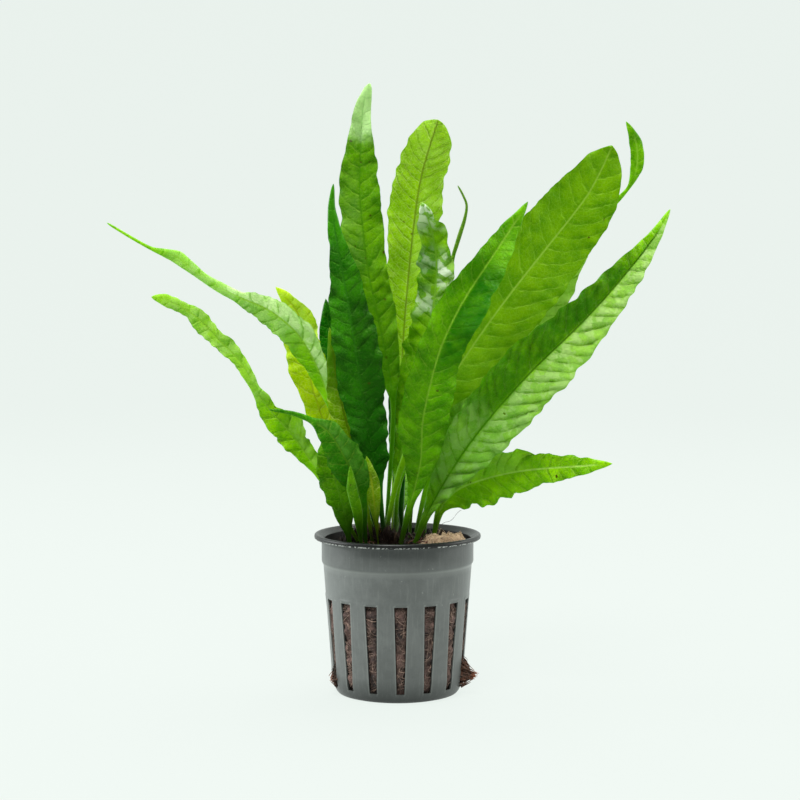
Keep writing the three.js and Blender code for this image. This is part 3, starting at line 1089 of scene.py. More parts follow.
@dataclass
class Frond:
    """One frond: stalk, midrib and blade, grown around its solid.

    Attributes:
        node: the solid's name.
        slot: the record's material slot.
        finish: how it looks.
        shape: its relief.
        columns: points from the midrib to a margin.
        ring_gap: distance between rings along it.
        blade: thickness of the blade.
        rooted: how far the stalk goes down into the stem.
        tip: length over which the tip is rounded off.
        slim: how wide the stalk's foot is, against its solid.
        slender: the share of its length over which it widens again.
        stalk_width: where it is narrower than this it is all stalk.
        blade_width: where it is wider than this it is all blade.
    """

    node: str
    slot: str
    finish: LeafFinish
    shape: BladeShape
    columns: int = 13
    ring_gap: float = 0.7
    blade: float = 0.34
    rooted: float = 2.0
    tip: float = 2.4
    slim: float = 0.7
    slender: float = 0.3
    stalk_width: float = 2.4
    blade_width: float = 5.5

    def build(self) -> Skin:
        """Grows the frond's skin.

        Returns:
            The closed skin, with the paints "blade", "reach" and "vein".
        """
        solid = Course.of(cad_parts[self.node])
        course = solid.rooted(self.rooted * MM).fine(self.ring_gap * MM)
        half = (np.arange(self.columns + 1) / self.columns) ** 1.2
        across = np.concatenate([-half[:0:-1], half])[None, :]
        left_arm, right_arm = course.left - course.rib, course.right - course.rib
        arm = np.where(across[..., None] < 0, left_arm[:, None], right_arm[:, None])
        reach_mm = np.linalg.norm(arm, axis=-1) / MM
        width = (np.linalg.norm(left_arm, axis=1) + np.linalg.norm(right_arm, axis=1)) / MM
        width = width[:, None]
        steps = np.linalg.norm(np.diff(course.rib, axis=0), axis=1) / MM
        along = np.concatenate([[0], np.cumsum(steps)])[:, None]
        flat = ease(self.stalk_width, self.blade_width, width)
        margin = np.abs(across)
        stretch = 1 + self._scallop(along, across) * flat * ease(0.2, 1.0, margin)
        stretch = stretch * (self.slim + (1 - self.slim) * ease(0.04, self.slender, along / along[-1]))
        tail = np.clip((along - along[-1] + self.tip) / self.tip, 0, 1)
        stretch = stretch * np.sqrt(1 - 0.97 * tail**2)
        middle = course.rib[:, None] + arm * (margin * stretch)[..., None]
        count = self._vein_count(along, across, reach_mm)
        lift = self._lift(along, across, reach_mm, flat, count)
        upper, lower = self._thickness(across, margin * reach_mm, width, flat)
        face = course.face[:, None]
        top = middle + face * ((lift + upper) * MM)[..., None]
        foot = middle + face * ((lift - lower) * MM)[..., None]
        rings = np.concatenate([top, foot[:, -2:0:-1]], axis=1)
        paints = self._paints(along, across, reach_mm, width, count)
        return Skin(rings.reshape(-1, 3), loft(rings), paints)

    def dress(self, skin: Skin) -> bpy.types.Object:
        """Makes the piece and its material.

        Args:
            skin: what build made.

        Returns:
            The finished piece.
        """
        made = skin.piece(self.node + "_leaf", self.finish.material(self.node), 55.0)
        settle(made, self.slot, self.node)
        return made

    def _scallop(self, along: Array, across: Array) -> Array:
        """How far the margin is cut in or out.

        Args:
            along: millimetres up the frond.
            across: shares of the width, left below 0.

        Returns:
            Shares of the width.
        """
        shape = self.shape
        side = np.sign(across) * 40.0
        slow = Wander(shape.seed + 11, 8.0).at(along, side)
        quick = Wander(shape.seed + 12, 3.2).at(along, side)
        return shape.scallop * (slow + 0.5 * quick)

    def _vein_count(self, along: Array, across: Array, reach_mm: Array) -> Array:
        """Counts the side veins below each place.

        Args:
            along: millimetres up the frond.
            across: shares of the width, left below 0.
            reach_mm: millimetres to the margin.

        Returns:
            Counts, whole numbers being on a vein.
        """
        shape = self.shape
        out = np.abs(across) * reach_mm
        side = np.sign(across) * 30.0
        drift = Wander(shape.seed, 22.0).at(along, side) * 1.3
        curve = shape.slant * out + 0.055 * out**2
        return (along - curve + drift + 0.25 * side / 30.0) / shape.spacing + 50.0

    def _lift(
        self, along: Array, across: Array, reach_mm: Array, flat: Array,
        count: Array,
    ) -> Array:
        """How far the blade stands out of its plain fold.

        Args:
            along: millimetres up the frond.
            across: shares of the width, left below 0.
            reach_mm: millimetres to the margin.
            flat: 1 on the blade, 0 on the stalk.
            count: counts of side veins.

        Returns:
            Millimetres.
        """
        shape = self.shape
        margin = np.abs(across)
        side = np.sign(across) * 30.0
        bulge = np.abs(np.sin(math.pi * count)) ** 0.8 - 0.5
        held = ease(0.0, 0.3, margin) * (1 - 0.5 * ease(0.75, 1.0, margin))
        uneven = 0.75 + 0.35 * Wander(shape.seed + 3, 14.0).at(along, side)
        quilt = shape.quilt * bulge * held * uneven
        beat = along / shape.ruffle_length + 0.35 * Wander(shape.seed + 5, 25.0).at(along, side)
        ruffle = np.sin(2 * math.pi * beat + side) * shape.ruffle * margin**2.4
        slow = shape.wave * Wander(shape.seed + 7, 18.0).at(along, across * reach_mm) * margin
        size = np.clip(reach_mm / 5.0, 0.25, 1.2)
        side, start, end, slope = shape.pleat
        share = along / along[-1]
        window = ease(start, start + 0.12, share) * ease(0.0, 0.12, end - share)
        pleat = slope * np.maximum(across * side, 0) * reach_mm * window
        return (quilt + ruffle + slow) * flat * size + pleat

    def _thickness(
        self, across: Array, out: Array, width: Array, flat: Array
    ) -> tuple[Array, Array]:
        """How far each side stands off the middle surface.

        Args:
            across: shares of the width, left below 0.
            out: millimetres from the midrib.
            width: the frond's width.
            flat: 1 on the blade, 0 on the stalk.

        Returns:
            Millimetres on the side that faces out, and on the other.
        """
        margin = np.abs(across)
        thin = np.sqrt(np.clip(1 - margin**6, 0, 1))
        sheet = self.blade / 2 * thin
        size = np.clip(width / 12.0, 0.45, 1.0)
        ridge = self.shape.rib * size * np.exp(-((out / (0.55 * size)) ** 2)) * thin
        groove = -0.3 * ridge
        stalk = 0.36 * width * np.sqrt(np.clip(1 - margin**2, 0, 1))
        up, down = (groove, ridge) if self.shape.facing is Facing.UPPER else (ridge, groove)
        return (
            flat * (sheet + up) + (1 - flat) * stalk,
            flat * (sheet + down) + (1 - flat) * stalk,
        )

    def _paints(
        self, along: Array, across: Array, reach_mm: Array, width: Array,
        count: Array,
    ) -> dict[str, Array]:
        """Paints the place, the side, the shares of width and length, the veins, and the zones'
        painted highlight and painted shade.

        Args:
            along: millimetres up the frond.
            across: shares of the width, left below 0.
            reach_mm: millimetres to the margin.
            width: the frond's width.
            count: counts of side veins.

        Returns:
            The paints by name.
        """
        ones = np.ones_like(across * along)
        # The zones' painted highlight and painted shade, carried in the vein paint.
        pale = sum((z.share(along, across) for z in self.shape.zones if z.pale > 0), 0 * ones)
        dark = sum((z.share(along, across) for z in self.shape.zones if z.pale < 0), 0 * ones)
        upper = 1.0 if self.shape.facing is Facing.UPPER else 0.0
        sides: dict[str, list[Array]] = {"blade": [], "reach": [], "vein": []}
        for value, columns in ((upper, slice(None)), (1 - upper, slice(-2, 0, -1))):
            place = [across * reach_mm, along * ones, value * ones]
            share = [np.abs(across) * ones, along / along.max() * ones, width * ones]
            for name, parts in (("blade", place), ("reach", share), ("vein", [count, pale, dark])):
                sides[name].append(np.stack(parts, axis=-1)[:, columns])
        return {name: np.concatenate(both, axis=1).reshape(-1, 3) for name, both in sides.items()}


LIGHT = LeafFinish()
MID = replace(LIGHT, light="74b403", deep="3a8202", vein="a0d040", rib="74ac2a", glow="94c802")
# Leaf green with painted shade, for fronds that lie in the shade of others: deeper greens and gloom,
# and less light coming through.
SHADED_GREEN = replace(
    LIGHT, light="147402", deep="034801", vein="54a428", rib="2c7414", glow="2a9202", through=0.2,
    gloom="023a02",
)
YELLOW = replace(
    LIGHT, light="d2ea0a", deep="a8cc06", vein="e4f478", rib="b0bc2c", glow="dcf00a", gloom="7a9c04"
)
PLAIN = BladeShape()

# In each frond's zones, a pale above 0 is a painted highlight and below 0 is painted shade.
FRONDS = (
    Frond(
        "tall_frond", "frond_mid",
        replace(
            MID, spots=0.35, highlit_tip=0.12, rib="5c9a16", foot=0.9, light="7cb802", deep="408402"
        ),
        replace(
            PLAIN, seed=3, scallop=0.035,
            zones=(Zone(0.0, 0.9, 1.1, 0.75), Zone(-1.0, 0.6, 0.8, 0.12)),
        ),
    ),
    Frond(
        "dark_frond", "frond_dark",
        replace(SHADED_GREEN, light="3a8e04", deep="105c02", foot=0.95, glow="6ab402"),
        replace(PLAIN, seed=5, quilt=0.6, wave=0.7, zones=(Zone(1.0, 0.1, 0.7, -0.7),)),
    ),
    Frond(
        "blunt_frond", "frond_light",
        replace(
            LIGHT, light="b4e004", deep="86b804", vein="e2f890", rib="5c5a0c", glow="c8e404",
            gloom="4c8202", spots=0.12, veining=1.0, through=0.5, foot=0.5,
        ),
        replace(
            PLAIN, seed=8, facing=Facing.LOWER, quilt=0.7, rib=0.6, spacing=3.6, scallop=0.045,
            zones=(
                Zone(0.0, 0.9, 1.1, 0.35),
                Zone(1.0, 0.62, 0.85, 0.3),
                Zone(-1.0, 0.3, 0.5, 0.25),
            ),
        ),
    ),
    Frond(
        "centre_frond", "frond_light",
        replace(LIGHT, rib="98c84c", painted_highlight="fcfff8", patchy=0.9, light="94cc04", deep="4c9402"),
        replace(
            PLAIN, seed=12, quilt=1.0, wave=1.4, ruffle=1.1, scallop=0.12,
            zones=(
                Zone(0.0, 0.93, 1.1, 1.2),
                Zone(1.0, 0.75, 0.82, 1.2),
                Zone(1.0, 0.62, 0.68, 1.0),
                Zone(-1.0, 0.67, 0.71, 0.9),
                Zone(-1.0, 0.8, 0.84, 0.6),
            ),
        ),
    ),
    Frond(
        "whip_frond", "frond_mid",
        replace(MID, light="7a9a3c", deep="4c7a14"),
        replace(PLAIN, seed=14, quilt=0.15),
    ),
    Frond(
        "front_frond", "frond_light",
        replace(LIGHT, light="7cc404", deep="3c8c02", veining=0.35, foot=0.3, gloom="0c6c02"),
        replace(
            PLAIN, seed=17, quilt=0.4, pleat=(1.0, 0.55, 0.93, 0.9), scallop=0.035,
            zones=(Zone(1.0, 0.5, 0.8, -1.1),),
        ),
    ),
    Frond(
        "broad_frond", "frond_light",
        replace(
            LIGHT, light="86b804", deep="5a9403", gloss=0.42, rib="a8cc4c", relief=0.45, spots=0.1,
            veining=0.35,
        ),
        replace(PLAIN, seed=21, quilt=0.3, spacing=6.0, slant=0.3, ruffle=0.5, scallop=0.015),
        columns=20,
    ),
    Frond(
        "lobed_frond", "frond_mid",
        replace(LIGHT, light="8cd004", veining=0.4, painted_highlight="dcff84", patchy=0.2),
        replace(PLAIN, seed=24, zones=(Zone(0.0, 0.3, 0.72, 0.7),)),
    ),
    Frond(
        "crinkled_frond", "frond_light",
        replace(
            LIGHT, light="a4e404", deep="5cac03", vein="d4f67c", rib="2f5c0a", relief=0.9,
            gloom="1c7002", painted_highlight="d8f4a4",
        ),
        replace(
            PLAIN, seed=27, quilt=1.25, spacing=5.0, ruffle=0.9, slant=0.5, scallop=0.04,
            zones=(
                Zone(-1.0, 0.34, 0.84, -0.95),
                Zone(1.0, 0.1, 0.98, 0.7),
                Zone(-1.0, 0.16, 0.36, 0.6),
            ),
        ),
        columns=20,
    ),
    Frond(
        "low_right_frond", "frond_light",
        replace(LIGHT, light="a8e404", deep="66b003", rib="c8ec74", foot=0.2),
        replace(
            PLAIN, seed=31, quilt=0.45, ruffle=1.2, scallop=0.08,
            zones=(Zone(-1.0, 0.2, 0.6, 0.2),),
        ),
    ),
    Frond(
        "long_left_frond", "frond_light",
        replace(LIGHT, light="9ee008", deep="66b403", foot=0.2, painted_highlight="dcf8b4", patchy=0.45),
        replace(
            PLAIN, seed=34, scallop=0.09,
            zones=(Zone(1.0, 0.3, 0.7, 0.9), Zone(0.0, 0.5, 0.84, 0.4)),
        ),
    ),
    Frond(
        "low_left_frond", "frond_light",
        replace(LIGHT, light="a8e404", deep="66b003", foot=0.2),
        replace(
            PLAIN, seed=38, ruffle=1.2, scallop=0.17,
            zones=(Zone(0.0, 0.55, 0.98, 0.45), Zone(1.0, 0.25, 0.42, 0.35)),
        ),
    ),
    Frond(
        "yellow_frond", "frond_yellow",
        replace(YELLOW, foot=0.2),
        replace(PLAIN, seed=41, ruffle=1.0, scallop=0.08, zones=(Zone(0.0, 0.75, 0.97, 0.3),)),
    ),
    Frond("shaded_frond", "frond_dark", SHADED_GREEN, replace(PLAIN, seed=43)),
    Frond(
        "strip_frond", "frond_yellow",
        replace(YELLOW, light="86b806", deep="5c9404", rib="4d6a0a", gloom="1c6a02"),
        replace(PLAIN, seed=46, zones=(Zone(0.0, 0.7, 1.0, -0.9),)),
    ),
    Frond(
        "grey_frond", "frond_mid",
        replace(MID, light="3f9c0c", deep="1f7204", painted_highlight="96dc58"),
        replace(
            PLAIN, seed=48, zones=(Zone(1.0, 0.35, 0.75, 0.35), Zone(-1.0, 0.1, 0.5, -0.3))
        ),
    ),
    Frond("frilled_frond", "frond_mid", MID, replace(PLAIN, seed=52, ruffle=1.2, scallop=0.1)),
    Frond("slip_frond", "frond_mid", MID, replace(PLAIN, seed=54, quilt=0.15)),
    Frond(
        "gold_frond", "frond_yellow",
        replace(YELLOW, light="86b406", deep="4c8004", foot=0.8),
        replace(PLAIN, seed=57, quilt=0.2),
        slim=0.35, slender=0.55,
    ),
    Frond("inner_frond", "frond_dark", SHADED_GREEN, replace(PLAIN, seed=59, quilt=0.2)),
    Frond("back_right_frond", "frond_mid", MID, replace(PLAIN, seed=62)),
    Frond("back_left_frond", "frond_mid", MID, replace(PLAIN, seed=64)),
    Frond("back_low_frond", "frond_light", LIGHT, replace(PLAIN, seed=67)),
    Frond("back_short_frond", "frond_light", LIGHT, replace(PLAIN, seed=69)),
)


# ------------------------------------------------------------------ net pot


@dataclass
class NetPot:
    """The slotted pot: floor, rounded corner, slotted body, shoulder, band and lip.

    Sizes are in millimetres. The height and the rim's radius come from the solid's box.

    Attributes:
        wall: thickness of the wall.
        lip_reach: how far the lip stands out from the band.
        lip_height: height of the lip.
        band: height of the plain band below the lip.
        shoulder_step: how far the band stands out from the body.
        shoulder: height of the curve between them.
        taper: how much narrower the body is at its foot.
        corner_reach: how far the rounded corner reaches in.
        corner: its height.
        floor: thickness of the floor.
        slots: how many slots there are.
        slot_turn: how far the first one is turned from the front, in degrees.
        slot_drop: from the shoulder down to the slots' tops.
        slot_foot: the height of their feet.
        slot_top_width: their width at the top.
        slot_foot_width: their width at the foot.
        drains: how many slots the floor has.
        drain_start: where each starts, from the middle.
        drain_end: where it ends.
        drain_width: its width.
        frame_height: how far the raised frame round a slot's top stands out.
        edge_round: how far the edges are rounded.
        slot_columns: faces across a slot.
        rib_columns: faces across a rib.
        finish: how it looks.
    """

    wall: float = 0.9
    lip_reach: float = 2.4
    lip_height: float = 1.6
    band: float = 8.8
    shoulder_step: float = 0.6
    shoulder: float = 1.6
    taper: float = 2.5
    corner_reach: float = 3.0
    corner: float = 9.0
    floor: float = 1.1
    slots: int = 15
    slot_turn: float = 2.6
    slot_drop: float = 10.4
    slot_foot: float = 3.3
    slot_top_width: float = 4.3
    slot_foot_width: float = 2.6
    drains: int = 8
    drain_start: float = 7.0
    drain_end: float = 14.0
    drain_width: float = 2.0
    frame_height: float = 0.16
    edge_round: float = 0.16
    slot_columns: int = 6
    rib_columns: int = 10
    finish: PlasticFinish = PlasticFinish()

    def __post_init__(self) -> None:
        """Reads the solid's box and works out the radii."""
        low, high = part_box("net_pot")
        self.height = high.z / MM
        self.rim = (high.x - low.x) / 2 / MM
        self.band_radius = self.rim - self.lip_reach
        self.body_radius = self.band_radius - self.shoulder_step
        self.corner_radius = self.body_radius - self.taper
        self.base = self.corner_radius - self.corner_reach
        self.shoulder_foot = self.height - self.lip_height - self.band
        self.shoulder_top = self.shoulder_foot + self.shoulder
        self.slot_top = self.shoulder_foot - self.slot_drop

    def radius(self, height: float) -> float:
        """The outside radius of the wall.

        Args:
            height: where.

        Returns:
            The radius.
        """
        if height < self.corner:
            lean = math.acos(1 - height / self.corner)
            return self.base + self.corner_reach * math.sin(lean)
        if height < self.shoulder_foot:
            share = (height - self.corner) / (self.shoulder_foot - self.corner)
            return self.corner_radius + self.taper * share
        share = min(1.0, (height - self.shoulder_foot) / self.shoulder)
        return self.body_radius + self.shoulder_step * (3 - 2 * share) * share**2

    def slot_share(self, height: float | Array) -> Array:
        """How far up the slots a height lies, from 0 at their feet to 1 at their tops."""
        return np.clip((height - self.slot_foot) / (self.slot_top - self.slot_foot), 0, 1)

    def slot_width(self, height: float | Array) -> Array:
        """How wide the slots are.

        Args:
            height: where.

        Returns:
            The width.
        """
        widening = self.slot_top_width - self.slot_foot_width
        return self.slot_foot_width + widening * self.slot_share(height)

    def off_slot(self, turns: Array) -> Array:
        """The angle from the middle of the nearest slot.

        Args:
            turns: angles from the front.

        Returns:
            Angles, negative on one side.
        """
        pitch = 2 * math.pi / self.slots
        return (turns - math.radians(self.slot_turn) + pitch / 2) % pitch - pitch / 2

    def _heights(self) -> list[float]:
        """The heights of the wall's rows, closer where it curves.

        Returns:
            The heights, upwards.
        """
        rows = [0.0, 0.35, self.floor, 2.2, self.slot_foot]
        rows += list(np.linspace(self.slot_foot, self.corner, 7)[1:])
        rows += list(np.linspace(self.corner, self.slot_top, 19)[1:])
        rows += [self.slot_top + step for step in (0.4, 0.8, 1.2, 1.6, 2.4)]
        rows += list(np.linspace(self.slot_top + 2.4, self.shoulder_foot, 6)[1:])
        rows += list(np.linspace(self.shoulder_foot, self.shoulder_top, 6)[1:])
        rows += list(np.linspace(self.shoulder_top, self.height - self.lip_height, 6)[1:])
        return rows

    def _turns(self, height: float) -> Array:
        """The angles of the columns, which follow the tapering slots.

        Args:
            height: where.

        Returns:
            Angles from the front.
        """
        level = float(np.clip(height, self.slot_foot, self.slot_top))
        half = math.asin(self.slot_width(height) / 2 / self.radius(level))
        pitch = 2 * math.pi / self.slots
        slot = np.linspace(-half, half, self.slot_columns + 1)[:-1]
        rib = np.linspace(half, pitch - half, self.rib_columns + 1)[:-1]
        one = np.concatenate([slot, rib])
        start = math.radians(self.slot_turn)
        return np.concatenate([one + start + pitch * k for k in range(self.slots)])

    def _emboss(self, height: float, turns: Array) -> Array:
        """How far the raised frame round each slot's top stands out.

        Args:
            height: where.
            turns: angles from the front.

        Returns:
            One number for each angle.
        """
        out = np.abs(self.off_slot(turns)) * self.radius(height) - self.slot_top_width / 2
        above = height - self.slot_top
        away = np.hypot(np.maximum(out, 0), max(above, 0)) if above > 0 else np.maximum(out, 0)
        frame_band = np.exp(-(((away - 0.75) / 0.35) ** 2))
        return self.frame_height * frame_band * float(ease(-4.0, -1.5, np.array(above)))

    def build(self) -> Skin:
        """Builds the wall with its slots, floor and lip.

        Returns:
            A closed skin, with the paint "wear".
        """
        heights = self._heights()
        outer = [(self.radius(h), h, h) for h in heights]
        lip = self._lip()
        inner = [(self.radius(h) - self.wall, h, h) for h in reversed(heights) if h >= self.floor]
        floor_top = [(r, self.floor, 0.0) for r in (self.base - 2.5, 14.0, 10.5, 7.0, 3.5)]
        floor_foot = [(r, 0.0, 0.0) for r in (3.5, 7.0, 10.5, 14.0, self.base - 2.0, self.base - 0.4)]
        profile = floor_foot + [(self.base, 0.12, 0.12)] + outer[1:] + lip + inner + floor_top
        columns = self.slots * (self.slot_columns + self.rib_columns)
        points, wear_and_light = [], []
        for radius, height, level in profile:
            turns = self._turns(level)
            on_wall = (radius, height, level) in outer
            reach = radius + (self._emboss(height, turns) if on_wall else 0 * turns)
            x, y = reach * np.sin(turns), -reach * np.cos(turns)
            points.append(np.stack([x, y, turns * 0 + height], -1))
            wear_and_light.append(self._wear_and_light(height, turns, on_wall, radius > self.rim - 1.0))
        rows = np.array(points)
        faces = self._faces(profile, heights, len(outer) - 1 + len(floor_foot), columns)
        return Skin(rows.reshape(-1, 3) * MM, faces, {"wear_and_light": np.array(wear_and_light).reshape(-1, 3)})

    def _lip(self) -> list[tuple[float, float, float]]:
        """The lip's section, from its underside over the top to the inside.

        Returns:
            Rows of radius, height and the height that sets its columns.
        """
        foot, top = self.height - self.lip_height, self.height
        wall = self.wall
        section = [
            (self.band_radius + 0.15, foot + 0.25),
            (self.band_radius + 0.5, foot + 0.55),
            (self.rim - wall, foot + 0.5),
            (self.rim - wall * 0.75, foot + 0.08),
            (self.rim - wall * 0.4, foot),
            (self.rim - 0.1, foot + 0.2),
            (self.rim, foot + 0.55),
            (self.rim, top - 0.6),
            (self.rim - 0.12, top - 0.25),
            (self.rim - 0.4, top - 0.04),
            (self.rim - 0.8, top),
            (self.rim - 1.15, top - 0.08),
            (self.rim - 1.5, top - 0.4),
            (self.band_radius - wall + 0.35, foot + 0.35),
        ]
        return [(r, h, h) for r, h in section]

    def _wear_and_light(self, height: float, turns: Array, on_wall: bool, on_lip: bool) -> Array:
        """Paints where the lip is flashed, the painted highlight on slot edges and under the shoulder,
        and the dusty film with its painted shade.

        Args:
            height: the row's height.
            turns: angles from the front.
            on_wall: whether it is on the wall's outside.
            on_lip: whether it is on the lip's outside.

        Returns:
            Flash, painted highlight, and dusty film with painted shade, for each angle.
        """
        lip_foot = self.height - self.lip_height
        rim = float(on_lip and height < lip_foot + 0.3) * (0.65 + 0.35 * np.cos(turns))
        # Dusty film lightens the outside of the wall. It fades towards the foot, where the near-black
        # shows as painted shade, and is a little less on the band; off the wall there is none, so the
        # inside is painted shade and the lip is bare plastic.
        levels = [0.0, 1.5, 8.0, 20.0, self.shoulder_foot, self.shoulder_top + 1.0, lip_foot]
        amounts = [0.0, 0.35, 0.8, 1.0, 1.0, 0.75, 0.68]
        dust_and_shade = float(np.interp(height, levels, amounts)) if on_wall else 0.0
        # Painted highlight: a pale line just under the shoulder, and along the slot edges.
        shoulder_highlight = math.exp(-(((height - self.shoulder_foot - 0.5) / 0.55) ** 2)) if on_wall else 0.0
        reach = np.abs(self.off_slot(turns)) * self.radius(max(height, 0.1))
        near = np.abs(reach - self.slot_width(height) / 2)
        beside = self.slot_foot - 0.5 < height < self.slot_top + 0.5
        edge = 0.7 * np.exp(-((near / 0.2) ** 2)) * float(beside and on_wall) + 0.9 * shoulder_highlight
        return np.stack([rim, edge, turns * 0 + dust_and_shade], -1)

    def _faces(
        self, profile: list, heights: list[float], last_outer: int, columns: int
    ) -> list[tuple[int, ...]]:
        """Joins the rows, leaves the slots open and closes their sides.

        Args:
            profile: the rows.
            heights: the wall's heights.
            last_outer: the last row of the wall's outside.
            columns: points in each row.

        Returns:
            The faces.
        """
        pitch = self.slot_columns + self.rib_columns
        total = len(profile)
        level = [h for _, _, h in profile]
        inner_top = (self.radius(heights[-1]) - self.wall, heights[-1])
        first_inner = next(i for i in range(last_outer + 1, total) if profile[i][:2] == inner_top)
        low = self.slot_foot - 1e-6
        high = self.slot_top + 1e-6

        def in_slot(row: int, following: int) -> bool:
            """Whether the cells between two rows can be a slot's.

            Args:
                row: the first row.
                following: the second.

            Returns:
                Whether they can.
            """
            wall = row <= last_outer or row >= first_inner
            ends = sorted((level[row], level[following]))
            return wall and low < ends[0] and ends[1] < high

        faces = []
        for row in range(total - 1):
            following = row + 1
            for column in range(columns):
                if in_slot(row, following) and column % pitch < self.slot_columns:
                    continue
                beside = (column + 1) % columns
                faces.append(
                    (row * columns + column, row * columns + beside,
                     following * columns + beside, following * columns + column)
                )
        faces.append(tuple(range(columns - 1, -1, -1)))
        top_row = (total - 1) * columns
        faces.append(tuple(range(top_row, top_row + columns)))
        faces += self._slot_sides(profile, last_outer, first_inner, columns, low, high)
        return faces

    def _slot_sides(
        self, profile: list, last_outer: int, first_inner: int, columns: int, low: float, high: float
    ) -> list[tuple[int, ...]]:
        """The faces through the wall, round each slot.

        Args:
            profile: the rows.
            last_outer: the last row of the wall's outside.
            first_inner: the first row of its inside.
            columns: points in each row.
            low: just below the slots' feet.
            high: just above their tops.

        Returns:
            The faces.
        """
        outer_rows = {round(profile[i][2], 6): i for i in range(last_outer + 1)}
        inner_rows = {round(profile[i][2], 6): i for i in range(first_inner, len(profile))}
        levels = sorted(h for h in outer_rows if low < h < high and h in inner_rows)
        pitch = self.slot_columns + self.rib_columns
        faces = []
        for slot in range(self.slots):
            left = slot * pitch
            right = left + self.slot_columns
            for below, above in zip(levels, levels[1:]):
                ob, oa = outer_rows[below] * columns, outer_rows[above] * columns
                ib, ia = inner_rows[below] * columns, inner_rows[above] * columns
                faces.append((ob + left, oa + left, ia + left, ib + left))
                faces.append((ib + right, ia + right, oa + right, ob + right))
            for column in range(left, right):
                for edge, flip in ((levels[0], False), (levels[-1], True)):
                    o, i = outer_rows[edge] * columns, inner_rows[edge] * columns
                    ring = (o + column, i + column, i + column + 1, o + column + 1)
                    faces.append(tuple(reversed(ring)) if flip else ring)
        return faces

    def dress(self, skin: Skin) -> bpy.types.Object:
        """Cuts the drain slots, rounds the edges and puts the plastic on.

        Args:
            skin: what build made.

        Returns:
            The finished piece.
        """
        made = skin.piece("net_pot_shell", self.finish.material("pot_plastic"), 40.0)
        tidy = bmesh.new()
        tidy.from_mesh(made.data)
        bmesh.ops.remove_doubles(tidy, verts=tidy.verts, dist=WELD)
        bmesh.ops.recalc_face_normals(tidy, faces=tidy.faces)
        tidy.to_mesh(made.data)
        tidy.free()
        cutter = self._drain_cutter()
        cut = made.modifiers.new("drains", "BOOLEAN")
        cut.operation = "DIFFERENCE"
        cut.solver = "EXACT"
        cut.object = cutter
        soften = made.modifiers.new("edges", "BEVEL")
        soften.width = self.edge_round * MM
        soften.segments = 2
        soften.limit_method = "ANGLE"
        soften.angle_limit = math.radians(50)
        apply_modifiers(made)
        bpy.data.objects.remove(cutter)
        settle(made, "pot_plastic", "net_pot")
        return made

    def _drain_cutter(self) -> bpy.types.Object:
        """A star of bars that cuts the drain slots.

        Returns:
            The cutter.
        """
        shape = bmesh.new()
        for index in range(self.drains):
            turn = 2 * math.pi * index / self.drains
            along = np.array([math.sin(turn), -math.cos(turn)])
            aside = np.array([along[1], -along[0]]) * self.drain_width / 2
            corners = []
            for height in (-1.0, self.floor + 1.0):
                for reach, side in ((self.drain_start, -1), (self.drain_end, -1),
                                    (self.drain_end, 1), (self.drain_start, 1)):
                    spot = along * reach + aside * side
                    corners.append(shape.verts.new((spot[0] * MM, spot[1] * MM, height * MM)))
            for face in BOX_FACES:
                shape.faces.new([corners[i] for i in face])
        bmesh.ops.recalc_face_normals(shape, faces=shape.faces)
        mesh = bpy.data.meshes.new("drain_cutter")
        shape.to_mesh(mesh)
        shape.free()
        made = bpy.data.objects.new("drain_cutter", mesh)
        bpy.context.scene.collection.objects.link(made)
        return made


def apply_modifiers(piece: bpy.types.Object) -> None:
    """Turns a piece's modifiers into plain mesh.

    Args:
        piece: the piece, changed in place.
    """
    shown = piece.evaluated_get(bpy.context.evaluated_depsgraph_get())
    mesh = bpy.data.meshes.new_from_object(shown)
    old = piece.data
    piece.modifiers.clear()
    piece.data = mesh
    bpy.data.meshes.remove(old)


# ------------------------------------------------------------------ rock wool and roots


